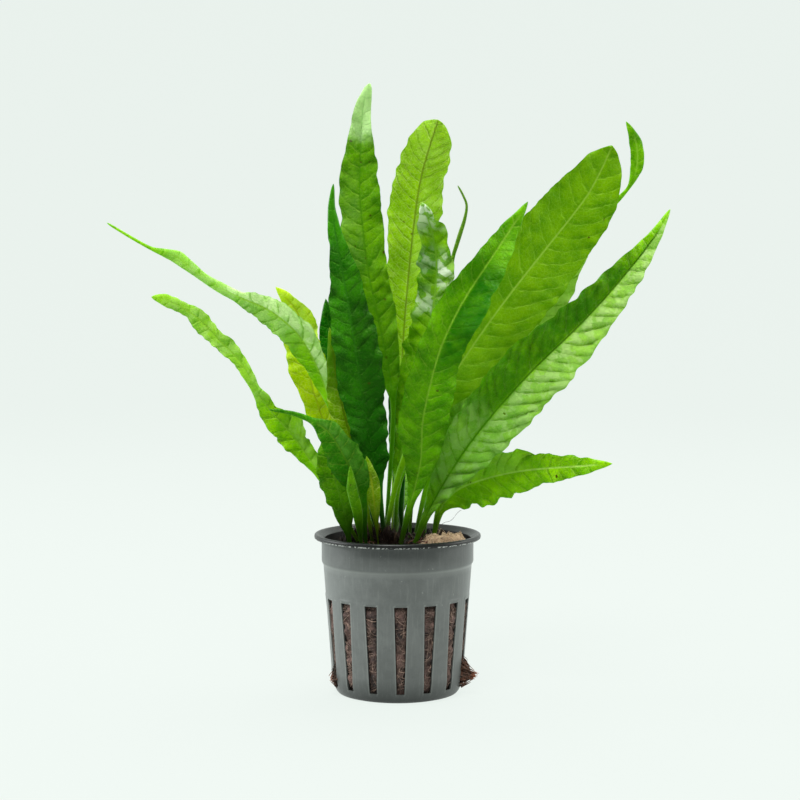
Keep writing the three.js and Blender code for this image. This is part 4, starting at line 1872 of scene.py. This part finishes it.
@dataclass
class WoolPlug:
    """The rock wool plug, the roots matted over it and the fibres on its top.

    Sizes are in millimetres.

    Attributes:
        pot: the pot that it stands in.
        gap: clearance to the pot's inside.
        bulge: how far it presses out into the slots.
        depth: from the rim down to the wool.
        lump: height, radius, x and y of the torn lump.
        slot_play: how much narrower than its slot a swelling of wool is, on each side.
        mid_height: the height at which the inside radius is read for the swellings.
        columns: points round the plug.
        rows: rings up its side.
        top_rings: rings across its top.
        root_count: roots in the mat on its side.
        root_points: points along each.
        fibre_count: loose fibres on its top.
        fibre_points: points along each.
        fibre_reach: how far from the middle the loose fibres lie.
        seed: which random draws.
        wool: the finish of its body.
        loose: the finish of the fibres.
        mat: the finish of the roots.
    """

    pot: NetPot
    gap: float = 0.45
    bulge: float = 0.9
    depth: float = 5.9
    lump: tuple[float, float, float, float] = (5.4, 10.0, 15.5, -1.5)
    slot_play: float = 0.15
    mid_height: float = 20.0
    columns: int = 450
    rows: int = 70
    top_rings: int = 46
    root_count: int = 2100
    root_points: int = 12
    fibre_count: int = 700
    fibre_points: int = 9
    fibre_reach: float = 21.5
    seed: int = 71
    wool: FibreFinish = FibreFinish("6a514a", "100908", scale=1.1, bloom="c0a684", relief=0.4)
    loose: FibreFinish = FibreFinish("cdb494", "2e2018", scale=4.0, tinted=True, gloss=0.6)
    mat: FibreFinish = FibreFinish("a88c7c", "120908", scale=1.3, tinted=True, gloss=0.8)

    def inside(self, height: float) -> float:
        """The pot's inside radius at a height."""
        return self.pot.radius(height) - self.pot.wall

    def press(self, turns: Array, height: Array) -> Array:
        """How far the wool presses out into the slots.

        Args:
            turns: angles from the front.
            height: where.

        Returns:
            Distances, 0 behind the ribs.
        """
        share = self.pot.slot_share(height)
        half = self.pot.slot_width(height) / 2 - self.slot_play
        inside = 1 - np.abs(self.pot.off_slot(turns)) * self.inside(self.mid_height) / half
        ends = ease(0.0, 0.12, share) * ease(0.0, 0.08, 1 - share)
        return self.bulge * ease(0.0, 0.16, inside) * ends

    def lumpness(self, x: Array, y: Array) -> Array:
        """How much of the torn lump lies at some places.

        Args:
            x: to the right.
            y: to the back.

        Returns:
            Numbers from 0 to 1.
        """
        _, radius, at_x, at_y = self.lump
        away = np.hypot(x - at_x, y - at_y) / radius
        return np.clip(2.2 * (1 - away), 0, 1) ** 0.8

    def top(self, x: Array, y: Array) -> Array:
        """The height of the wool's top at some places.

        Args:
            x: to the right.
            y: to the back.

        Returns:
            The heights.
        """
        lump = self.lump[0] * self.lumpness(x, y)
        rough = 0.45 * Wander(self.seed, 5.0).at(x, y) + 0.22 * Wander(self.seed + 1, 1.8).at(x, y)
        return self.pot.height - self.depth - 0.3 + lump + rough * (0.6 + 0.1 * lump)

    def build(self) -> Skin:
        """Builds the plug's body.

        Returns:
            A closed skin, with the paint "tint" pale on the lump.
        """
        turns = np.arange(self.columns) * 2 * math.pi / self.columns
        rings = []
        edge = self.pot.height - self.depth - 0.5
        for height in np.linspace(self.pot.floor + 0.4, edge, self.rows):
            swell = 0.2 * Wander(self.seed + 2, 4.0).at(turns * 20, 0 * turns + height)
            radius = self.inside(height) - self.gap + np.minimum(swell, 0.25)
            radius = radius + self.press(turns, 0 * turns + height) * (0.8 + swell)
            x, y = radius * np.sin(turns), -radius * np.cos(turns)
            rings.append(np.stack([x, y, 0 * turns + height], -1))
        for share in np.linspace(0.985, 0.02, self.top_rings):
            radius = share * (self.inside(edge) - self.gap)
            x, y = radius * np.sin(turns), -radius * np.cos(turns)
            rings.append(np.stack([x, y, self.top(x, y)], -1))
        skin = np.array(rings)
        points = skin.reshape(-1, 3)
        pale = self.lumpness(points[:, 0], points[:, 1]) * (points[:, 2] > edge)
        tint = np.stack([0 * pale, 0 * pale, pale], -1)
        return Skin(points * MM, loft(skin), {"tint": tint})

    def dress(self, skin: Skin) -> None:
        """Makes the plug, its mat of roots and the fibres on top.

        Args:
            skin: what build made.
        """
        plug = skin.piece("rock_wool_plug", self.wool.material("rock_wool"))
        settle(plug, "rock_wool", "rock_wool")
        roots = self._root_mat().piece("root_mat", self.mat.material("root_mat"))
        settle(roots, "root")
        fibres = self._top_fibres().piece("wool_fibres", self.loose.material("wool_fibres"))
        settle(fibres, "rock_wool")

    def _root_mat(self) -> Skin:
        """Fine roots that wander over the plug's side, behind the slots.

        Returns:
            Their skin.
        """
        draw = np.random.RandomState(self.seed + 10)
        number, length = self.root_count, self.root_points
        turn = draw.uniform(0, 2 * math.pi, number)
        height = draw.uniform(3.0, self.pot.slot_top + 1.5, number)
        upright = draw.uniform(size=number) < 0.6
        slope = np.where(upright, draw.normal(0.0, 0.5, number), draw.normal(1.5, 0.4, number))
        reach = draw.uniform(2.5, 9.0, number)
        share = np.linspace(-0.5, 0.5, length)[None, :]
        bend = draw.normal(0, 0.8, (number, 1)) * np.sin(share * 7 + draw.uniform(0, 6, (number, 1)))
        upward = height[:, None] + reach[:, None] * share * np.cos(slope)[:, None] + 0.4 * bend
        sideways = reach[:, None] * share * np.sin(slope)[:, None] + bend
        upward = np.clip(upward, 2.2, self.pot.slot_top + 3)
        inner = np.vectorize(self.inside)(upward)
        radii = draw.uniform(0.05, 0.15, (number, 1)) * (1 - 0.7 * np.abs(2 * share))
        layer = draw.uniform(0.12, 0.62, (number, 1))
        angle = turn[:, None] + sideways / inner
        away = inner - layer + 0.12 * np.sin(share * 20 + draw.uniform(0, 6, (number, 1)))
        away = np.minimum(away, inner - 0.02 - radii) + self.press(angle, upward)
        courses = np.stack([away * np.sin(angle), -away * np.cos(angle), upward], -1)
        return strands(courses * MM, radii * MM, 4, draw.uniform(0, 1, number) ** 2.4)

    def _top_fibres(self) -> Skin:
        """Loose fibres and crumbs of wool on the plug's top.

        Returns:
            Their skin.
        """
        draw = np.random.RandomState(self.seed + 12)
        number, length = self.fibre_count, self.fibre_points
        radius = self.fibre_reach * np.sqrt(draw.uniform(0, 1, number))
        turn = draw.uniform(0, 2 * math.pi, number)
        heading = draw.uniform(0, 2 * math.pi, (number, 1))
        reach = draw.uniform(1.5, 4.5, (number, 1))
        share = np.linspace(-0.5, 0.5, length)[None, :]
        curl = heading + draw.normal(0, 1.2, (number, 1)) * share
        x = radius[:, None] * np.cos(turn)[:, None] + reach * share * np.cos(curl)
        y = radius[:, None] * np.sin(turn)[:, None] + reach * share * np.sin(curl)
        rise = draw.uniform(0.0, 0.7, (number, 1)) * (1 - (2 * share) ** 2)
        courses = np.stack([x, y, self.top(x, y) + 0.05 + rise], -1)
        radii = draw.uniform(0.05, 0.11, (number, 1)) * (1 - 0.6 * np.abs(2 * share))
        middle = self.fibre_points // 2
        pale = 0.75 * self.lumpness(x[:, middle], y[:, middle]) + draw.uniform(0, 0.25, number)
        return strands(courses * MM, radii * MM, 4, pale)


@dataclass
class Crown:
    """The creeping stem with its hairs, the bare stalks and the roots of the crown.

    Sizes are in millimetres.

    Attributes:
        sway: how far the stem winds from side to side.
        stem_rings: rings along the stem.
        stem_sides: points round it.
        hair_count: hairs on it.
        stub_count: feet of old fronds on it.
        root_count: roots over the wool.
        seed: which random draws.
        stem: the finish of the stem.
        hair: the finish of its hairs.
        stub: the finish of the old feet.
        dry: the finish of the old brown stalk.
        bare: the finish of the thin bare stalk.
        root: the finish of the roots.
    """

    sway: float = 3.2
    stem_rings: int = 90
    stem_sides: int = 28
    hair_count: int = 4200
    stub_count: int = 34
    root_count: int = 46
    seed: int = 91
    stem: FibreFinish = FibreFinish("2c2018", "0c0806", scale=3.0, relief=0.5)
    hair: FibreFinish = FibreFinish("453020", "0c0806", scale=4.0, tinted=True, gloss=0.7)
    stub: FibreFinish = FibreFinish("4c3a1c", "15110b", scale=3.0, tinted=True, relief=0.3)
    dry: FibreFinish = FibreFinish("7a4a2a", "3c2415", scale=3.0, relief=0.2)
    bare: FibreFinish = FibreFinish("b8a63c", "6f7a16", scale=2.0, relief=0.1)
    root: FibreFinish = FibreFinish("7c4a30", "2e1810", scale=3.0, tinted=True, gloss=0.6)

    def course(self, share: Array) -> Array:
        """The stem's middle.

        Args:
            share: shares of its length.

        Returns:
            Places in metres.
        """
        low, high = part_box("rhizome")
        x = low.x + (high.x - low.x) * share
        y = self.sway * MM * np.sin(3 * math.pi * share)
        z = 0 * share + (low.z + high.z) / 2
        return np.stack([x, y, z], -1)

    def build(self) -> None:
        """Builds and dresses every piece of the crown."""
        self._stem()
        self._hairs()
        self._bare("old_stalk", "old_stalk", self.dry)
        self._bare("bare_stalk", "frond_yellow", self.bare)
        self._stubs()
        self._surface_roots()

    def _stubs(self) -> None:
        """Dark feet of old fronds, broken short, between the stalks."""
        draw = np.random.RandomState(self.seed + 4)
        number, length = self.stub_count, 9
        foot = self.course(draw.uniform(0.03, 0.97, number)) + [0, 0, 0.6 * MM]
        foot[:, 1] += (draw.normal(0, 1.2, number) - 1.0) * MM
        lean = unit(draw.normal(size=(number, 3)) * [0.45, 0.4, 0.1] + [0, 0, 1.0])
        tall = draw.uniform(2.0, 7.0, (number, 1, 1)) * MM
        share = np.linspace(0, 1, length)[None, :, None]
        bow = draw.normal(size=(number, 1, 3)) * [0.8, 0.8, 0.0] * MM * share**2
        courses = foot[:, None] + lean[:, None] * tall * share + bow
        radii = draw.uniform(0.35, 0.75, (number, 1)) * MM * (1.05 - 0.45 * share[..., 0])
        skin = strands(courses, radii, 8, draw.uniform(0, 1, number) ** 2)
        settle(skin.piece("old_stubs", self.stub.material("old_stubs")), "rhizome_bark")

    def _stem(self) -> None:
        """The lumpy stem."""
        share = np.linspace(0, 1, self.stem_rings)
        middle = self.course(share)
        low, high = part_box("rhizome")
        full = (high.z - low.z) / 2
        round_off = np.sqrt(np.clip(1 - (2 * share - 1) ** 8, 0.03, 1))
        turns = np.arange(self.stem_sides) * 2 * math.pi / self.stem_sides
        spot = (share[:, None] * 33, np.cos(turns)[None] * 3, np.sin(turns)[None] * 3)
        lumps = 0.12 * Wander(self.seed, 3.0).at(*spot)
        radius = full * round_off[:, None] * (0.95 + lumps)
        along = unit(np.gradient(middle, axis=0))
        right = unit(np.cross(along, [[0.0, 0.0, 1.0]]))
        up = np.cross(along, right)
        rings = (
            middle[:, None]
            + right[:, None] * (radius * np.cos(turns))[..., None]
            + up[:, None] * (radius * np.sin(turns))[..., None]
        )
        skin = Skin(rings.reshape(-1, 3), loft(rings))
        stem = skin.piece("rhizome_stem", self.stem.material("rhizome_bark"))
        settle(stem, "rhizome_bark", "rhizome")

    def _hairs(self) -> None:
        """Short dark hairs all over the stem and between the stalks' feet."""
        draw = np.random.RandomState(self.seed + 2)
        number, length = self.hair_count, 7
        all_over = draw.uniform(size=number) < 0.5
        share = np.where(all_over, draw.uniform(0.0, 1.0, number), draw.uniform(0.12, 0.55, number))
        root = self.course(share)
        lean = draw.normal(size=(number, 3)) * [0.8, 1.0, 0.8] + [0, 0, 0.7]
        lean = unit(lean)
        reach = draw.uniform(1.8, 3.6, (number, 1, 1)) * MM
        thick = ease(0.12, 0.2, share) * ease(-0.56, -0.48, -share)
        lean = unit(lean + np.stack([0 * thick, -0.5 * thick, 1.1 * thick], -1))
        reach = reach * (1 + 1.1 * thick)[:, None, None]
        grow = np.linspace(0.35, 1.0, length)[None, :, None]
        curl = draw.normal(size=(number, 1, 3)) * 0.4 * MM * grow**2
        courses = root[:, None] + lean[:, None] * reach * grow + curl
        radii = draw.uniform(0.04, 0.1, (number, 1)) * MM * np.linspace(1.0, 0.3, length)[None]
        skin = strands(courses, radii, 3, draw.uniform(0, 1, number) ** 2)
        settle(skin.piece("rhizome_hairs", self.hair.material("rhizome_hairs")), "rhizome_bark")

    def _bare(self, node: str, slot: str, finish: FibreFinish) -> None:
        """A stalk that has lost its blade, with a torn end.

        Args:
            node: its solid.
            slot: the record's material slot.
            finish: how it looks.
        """
        low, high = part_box(node)
        points = np.array([v.co[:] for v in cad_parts[node].data.vertices])
        foot = points[points[:, 2] < low.z + 0.3 * (high.z - low.z)].mean(0)
        tip = points[points[:, 2] > high.z - 0.3 * (high.z - low.z)].mean(0)
        share = np.linspace(0, 1, 24)
        wide = 0.42 * min(high.x - low.x, high.y - low.y)
        start = np.array([foot[0], foot[1], low.z - 1.2 * MM])
        end = np.array([tip[0], tip[1], high.z])
        middle = start + (end - start) * share[:, None]
        middle[:, 0] += 0.25 * MM * np.sin(share * 5)
        taper = 1.0 - 0.35 * share + 0.12 * np.sin(share * 17)
        skin = strands(middle[None], (wide * taper)[None], 12, np.array([0.5]))
        settle(skin.piece(node + "_bare", finish.material(node)), slot, node)

    def _surface_roots(self) -> None:
        """Red-brown roots at the right of the crown, and one loose hair."""
        draw = np.random.RandomState(self.seed + 6)
        low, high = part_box("rhizome")
        number, length = self.root_count, 16
        share = np.linspace(0, 1, length)[None, :]
        x = draw.uniform(low.x, high.x, (number, 1)) / MM
        y = draw.uniform(-5, 5, (number, 1))
        turn = draw.uniform(0, 2 * math.pi, (number, 1)) + draw.normal(0, 1.5, (number, 1)) * share
        reach = draw.uniform(4, 10, (number, 1))
        px = np.clip(x + reach * share * np.cos(turn), -20, 20)
        py = np.clip(y + reach * share * np.sin(turn), -12, 12)
        arch = draw.uniform(0.5, 3.0, (number, 1)) * np.sin(math.pi * share)
        pz = high.z / MM - 3.0 + arch
        radii = draw.uniform(0.12, 0.28, (number, 1)) * (1 - 0.6 * share)
        courses = np.stack([px, py, pz], -1) * MM
        skin = strands(courses, radii * MM, 5, draw.uniform(0, 1, number))
        settle(skin.piece("crown_roots", self.root.material("crown_roots")), "root")
        loose = np.linspace(0, 1, 24)
        rise = 55.5 + 5 * loose**1.3 + 0.4 * np.sin(loose * 9)
        hair = np.stack([14 + 7 * loose, -2 + 0 * loose, rise], -1)
        thin = strands(hair[None] * MM, np.full((1, 24), 0.06 * MM), 5, np.array([0.3]))
        settle(thin.piece("loose_root_hair", self.hair.material("loose_hair")), "root")


@dataclass
class RootTuft:
    """A bundle of roots that has grown out through a slot.

    Attributes:
        node: the solid's name.
        count: how many roots it has.
        spread: how far they spread, in millimetres.
        seed: which random draw.
        points: points along each root.
        sides: points round each root.
        finish: how they look.
    """

    node: str
    count: int
    spread: float
    seed: int
    points: int = 12
    sides: int = 5
    finish: FibreFinish = FibreFinish("94583a", "1d211c", scale=2.0, tinted=True, gloss=0.8)

    def build(self) -> bpy.types.Object:
        """Builds the bundle around its solid.

        Returns:
            The finished piece.
        """
        draw = np.random.RandomState(self.seed)
        solid = np.array([v.co[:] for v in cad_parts[self.node].data.vertices])
        away = np.hypot(solid[:, 0], solid[:, 1])
        start = solid[away < away.min() + 0.8 * MM].mean(0)
        end = solid[away > away.max() - 0.8 * MM].mean(0)
        number, length = self.count, self.points
        share = np.linspace(0, 1, length)[None, :, None]
        fan = draw.normal(size=(number, 1, 3)) * self.spread * MM * [0.25, 0.3, 0.9]
        reach = draw.uniform(0.15, 1.0, (number, 1, 1)) ** 1.3
        middle = start + (end - start) * share * reach
        curl = draw.normal(size=(number, 1, 3)) * 0.35 * MM
        curl = curl * np.sin(share * draw.uniform(3, 8, (number, 1, 1)))
        courses = middle + fan * (1.0 - 0.8 * share * reach) + curl
        courses[..., 2] = np.maximum(courses[..., 2], 0.6 * MM)
        radii = draw.uniform(0.18, 0.42, (number, 1)) * MM * (1 - 0.8 * share[..., 0])
        skin = strands(courses, radii, self.sides, draw.uniform(0, 1, number))
        brown = ease(0.6, 0.95, share * reach)[..., 0] + draw.uniform(-0.1, 0.2, (number, 1))
        skin.paints["tint"][:, 0] = np.repeat(np.clip(brown, 0, 1).ravel(), self.sides)
        made = skin.piece(self.node + "_roots", self.finish.material(self.node))
        settle(made, "root", self.node)
        return made


# ------------------------------------------------------------------ studio


@dataclass(frozen=True)
class Studio:
    """The pale sweep, the soft lights and the camera.

    Attributes:
        paper: the sweep's colour.
        camera_place: where the camera stands, in metres.
        tilt: how far it looks down, in degrees.
        lens: its focal length, in millimetres.
        backdrop: how bright the sweep looks.
        back: how brightly its far side lights the plant.
        front: how brightly its near side does.
        flat_radius: how far the flat floor reaches, in metres.
        sweep_radius: radius of the curve up into the wall.
        wall_top: height of the wall.
        matt: how much light of the panels the paper gives back.
        sky: how bright the even sky is.
    """

    paper: str = "eaf2ed"
    backdrop: float = 0.952
    back: float = 1.35
    front: float = 0.22
    camera_place: tuple[float, float, float] = (0.0008, -0.62, 0.138)
    tilt: float = 3.8
    lens: float = 85.0
    flat_radius: float = 1.3
    sweep_radius: float = 0.9
    wall_top: float = 2.4
    matt: tuple[float, float, float, float] = (0.04, 0.041, 0.041, 1.0)
    sky: float = 0.6

    def build(self) -> None:
        """Sets up the stage."""
        self._sweep()
        self._lights()
        self._camera()

    def _sweep(self) -> None:
        """A round floor that curves up into a wall all the way round."""
        section = [(0.02, 0.0), (0.15, 0.0), (0.5, 0.0), (self.flat_radius, 0.0)]
        for step in range(1, 13):
            lean = step / 12 * math.pi / 2
            away = self.flat_radius + self.sweep_radius * math.sin(lean)
            section.append((away, self.sweep_radius * (1 - math.cos(lean))))
        section.append((self.flat_radius + self.sweep_radius, self.wall_top))
        turns = np.arange(96) * 2 * math.pi / 96
        rows = np.array(
            [np.stack([r * np.cos(turns), r * np.sin(turns), 0 * turns + z], -1) for r, z in section]
        )
        faces = loft(rows)[:-1]
        made, web = new_material("studio_paper")
        seen = web.node("LightPath").outputs["Is Camera Ray"]
        depth = web.node("SeparateXYZ", {0: web.node("TexCoord").outputs["Object"]}).outputs[1]
        behind = web.step(depth, -1.0, 0.5)
        tent = web.plus(web.times(behind, self.back - self.front), self.front)
        glow = web.node("Mix", {0: seen, 2: tent, 3: self.backdrop}).outputs[0]
        matt = web.node("BsdfDiffuse", {"Color": self.matt})
        lit = web.node("Emission", {"Color": tone(self.paper), "Strength": glow})
        show(web, web.node("AddShader", {0: matt.outputs[0], 1: lit.outputs[0]}).outputs[0])
        floor = Skin(rows.reshape(-1, 3), faces).piece("studio_floor", made, 30.0)

    def _lights(self) -> None:
        """Soft panels overhead, at the right and at the left, and an even sky."""
        for name, place, size, power, colour in (
            ("back_panel", (0.15, 0.35, 1.1), 0.6, 12.0, (1.0, 0.99, 0.96)),
            ("front_panel", (-0.15, -0.55, 1.05), 0.4, 13.0, (1.0, 1.0, 0.98)),
            ("right_panel", (1.0, 0.1, 0.35), 0.6, 5.0, (1.0, 0.99, 0.97)),
            ("left_panel", (-1.0, 0.1, 0.35), 0.6, 9.0, (0.97, 0.99, 1.0)),
        ):
            lamp = bpy.data.lights.new(name, "AREA")
            lamp.size = size
            lamp.energy = power
            lamp.color = colour
            light = bpy.data.objects.new(name, lamp)
            light.location = place
            aim = np.array([0.0, 0.0, 0.1]) - np.array(place)
            light.rotation_euler = (
                math.acos(-aim[2] / np.linalg.norm(aim)),
                0.0,
                math.atan2(aim[1], aim[0]) - math.pi / 2,
            )
            bpy.context.scene.collection.objects.link(light)
        world = bpy.data.worlds.new("sky")
        world.use_nodes = True
        world.node_tree.nodes["Background"].inputs[0].default_value = tone(self.paper)
        world.node_tree.nodes["Background"].inputs[1].default_value = self.sky
        bpy.context.scene.world = world

    def _camera(self) -> None:
        """The camera, level but for its tilt."""
        data = bpy.data.cameras.new("camera")
        data.lens = self.lens
        data.sensor_width = 36.0
        data.clip_start = 0.01
        camera = bpy.data.objects.new("camera", data)
        camera.location = self.camera_place
        camera.rotation_euler = (math.radians(90 - self.tilt), 0, 0)
        bpy.context.scene.collection.objects.link(camera)
        bpy.context.scene.camera = camera
        bpy.context.scene.view_settings.view_transform = "Standard"


# ------------------------------------------------------------------ the whole object


def main() -> None:
    """Builds the studio, the pot, the wool, the crown and the fronds in order."""
    logging.basicConfig(level=logging.INFO, format="%(name)s: %(message)s")
    Studio().build()
    pot = NetPot()
    pot.dress(pot.build())
    plug = WoolPlug(pot)
    plug.dress(plug.build())
    Crown().build()
    RootTuft("root_tuft_right", 240, 2.4, 101).build()
    RootTuft("root_tuft_left", 160, 2.2, 103).build()
    for frond in FRONDS:
        frond.dress(frond.build())


if __name__ == "__main__":
    main()
